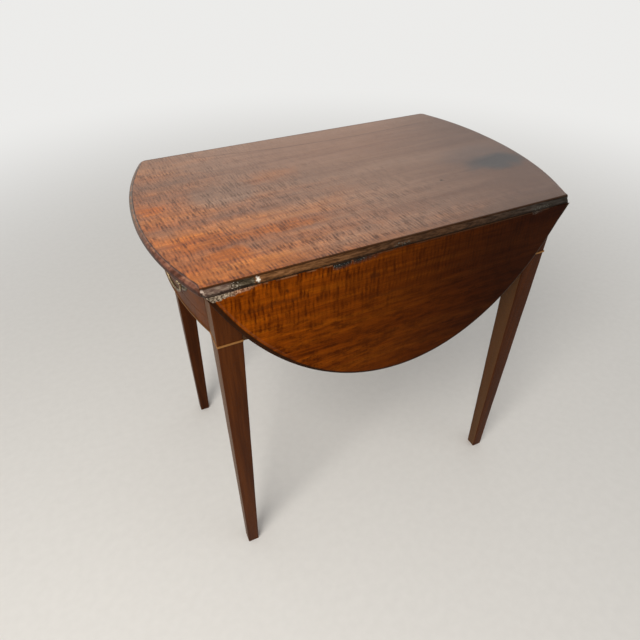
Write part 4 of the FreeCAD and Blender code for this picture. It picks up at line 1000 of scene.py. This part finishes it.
def bail(place):
    """A tube along the bail's path, fuller in the middle of the sweep."""
    along, up = bail_path()
    step_along = np.gradient(along)
    step_up = np.gradient(up)
    length = np.hypot(step_along, step_up)
    swell = BAIL_ROD + BAIL_SWELL * np.cos(np.clip(along / BAIL_HALF_WIDTH, -1, 1) * np.pi / 2)
    angle = circle(20)
    aside = np.multiply.outer(swell / length, np.cos(angle))
    out = HANDLE_STAND + np.multiply.outer(swell, np.sin(angle))
    along_side = along[:, None] - step_up[:, None] * aside
    return set_out(place, along_side, up[:, None] + step_along[:, None] * aside, out)


def bail_eye(place, along):
    """A barrel about the hinge line at the end of the bail, with rounded ends, and its pin into the
    post."""
    reach, radius = np.hsplit(np.array(BAIL_EYE), 2)
    angle = circle(20)
    side = along + np.sign(along) * reach + 0 * angle
    return set_out(place, side, radius * np.cos(angle), HANDLE_STAND + radius * np.sin(angle))


def handles(end):
    """Two handles on a bowed end: their plates, their posts and the two bails that swing."""
    body = "drawer" if end == "drawer" else "frame"
    brass = finish_for("brass")
    places = {side: handle_place(f"{end}_bail_{side}_hinge") for side in SIDES}
    sunk = smooth(0.64, 0.70, PLATE_SHARES) * smooth(0.82, 0.76, PLATE_SHARES)
    sunk += smooth(0.93, 0.98, PLATE_SHARES)
    hollow = np.tile(np.repeat(sunk, PLATE_POINTS), len(places))
    plates = gather(*(backplate(place) for place in places.values()))
    piece(f"{end}_plates", *plates, body, "brass", brass, [f"{end}_backplates"], hollow=hollow)
    posts = gather(*(post(place, sign * POST_SPACING) for place in places.values() for sign in (-1, 1)))
    piece(f"{end}_posts", *posts, body, "brass", brass, [f"{end}_handle_posts"])
    for side, place in places.items():
        eyes = [bail_eye(place, sign * BAIL_HALF_WIDTH) for sign in (-1, 1)]
        name = f"{end}_bail_{side}"
        piece(f"{name}_swing", *gather(bail(place), *eyes), name, "brass", brass, [name])


def dress_solids():
    """Gives each node that stays its slot's finish, its grain along its longest side, or upright where it
    is cross veneered."""
    slots = {part["node"]: part["material_slot"] for part in frame["record"]["subparts"]}
    for name, node in frame["nodes"].items():
        low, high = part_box(name)
        axis = "Z" if name in CROSS_VENEERED else "XYZ"[int(np.argmax(high - low))]
        node.data.materials.clear()
        node.data.materials.append(finish_for(GRIMY.get(name, slots[name]), axis))


# Setting


def floor():
    """A level pale floor that takes the shadow, and far from the table is seen as a plain pale
    backdrop."""
    finish = Finish("pale_floor")
    place = finish.place()
    grit = finish.noise(place, (55, 55, 55), 3.0)
    pale = finish.ramp(grit, (0.3, (0.775, 0.768, 0.750)), (0.7, (0.800, 0.793, 0.775)))
    material = finish.done(pale, 0.85, Specular_IOR_Level=0.1)
    share = finish.span(finish.length(place), 0.8, 3.0) * finish.sees_backdrop()
    finish.show(share, finish.shader, finish.node("Emission", {"Color": BACKDROP}), "Material Output")
    corners = [(FLOOR_HALF * x, FLOOR_HALF * y, 0) for x, y in ((-1, -1), (1, -1), (1, 1), (-1, 1))]
    mesh = bpy.data.meshes.new("floor")
    mesh.from_pydata(corners, [], [(0, 1, 2, 3)])
    mesh.materials.append(material)
    made = add("floor", mesh)


def studio():
    """Soft light all round, the same pale backdrop for the camera and for gloss, a key light and a wide
    fill."""
    world = bpy.data.worlds.new("studio")
    bpy.context.scene.world = world
    world.use_nodes = True
    nodes = Nodes(world.node_tree)
    ambient = nodes.tree.nodes["Background"]
    ambient.inputs["Color"].default_value = (1.0, 0.98, 0.95, 1)
    ambient.inputs["Strength"].default_value = 0.50
    backdrop = nodes.node("Background", {"Color": BACKDROP})
    nodes.show(nodes.sees_backdrop(), ambient, backdrop, "World Output")
    lamp("key", (-1.15, -1.00, 1.90), (0, 0, 0.6), 0.9, 28, (1.0, 0.95, 0.88))
    lamp("fill", (1.6, -1.6, 1.8), (0, 0, 0.5), 1.6, 3, (0.95, 0.97, 1.0))


def lamp(name, at, towards, size, power, colour):
    """A square soft light at a place, turned towards a point."""
    light = bpy.data.lights.new(name, "AREA")
    light.size = size
    light.energy = power
    light.color = colour
    aim(add(name, light), at, Vector(at) - Vector(towards))


def camera():
    """The camera at the photograph's place and angle."""
    view = bpy.data.cameras.new("camera")
    view.sensor_width = SENSOR
    view.lens = SENSOR * FOCAL_PIXELS / PICTURE_WIDTH
    made = add("camera", view)
    aim(made, CAMERA_AT, Vector((math.sin(CAMERA_AZIMUTH) * math.cos(CAMERA_ELEVATION),
                                 -math.cos(CAMERA_AZIMUTH) * math.cos(CAMERA_ELEVATION),
                                 math.sin(CAMERA_ELEVATION))))
    bpy.context.scene.camera = made


bpy.context.scene.view_settings.view_transform = "Standard"
camera()
floor()
studio()
dress_solids()
top_board()
leaf("near", LIP_BREAKS)
leaf("far", ())
for end_name in ENDS:
    handles(end_name)
    for side_name in SIDES:
        leg(end_name, side_name)
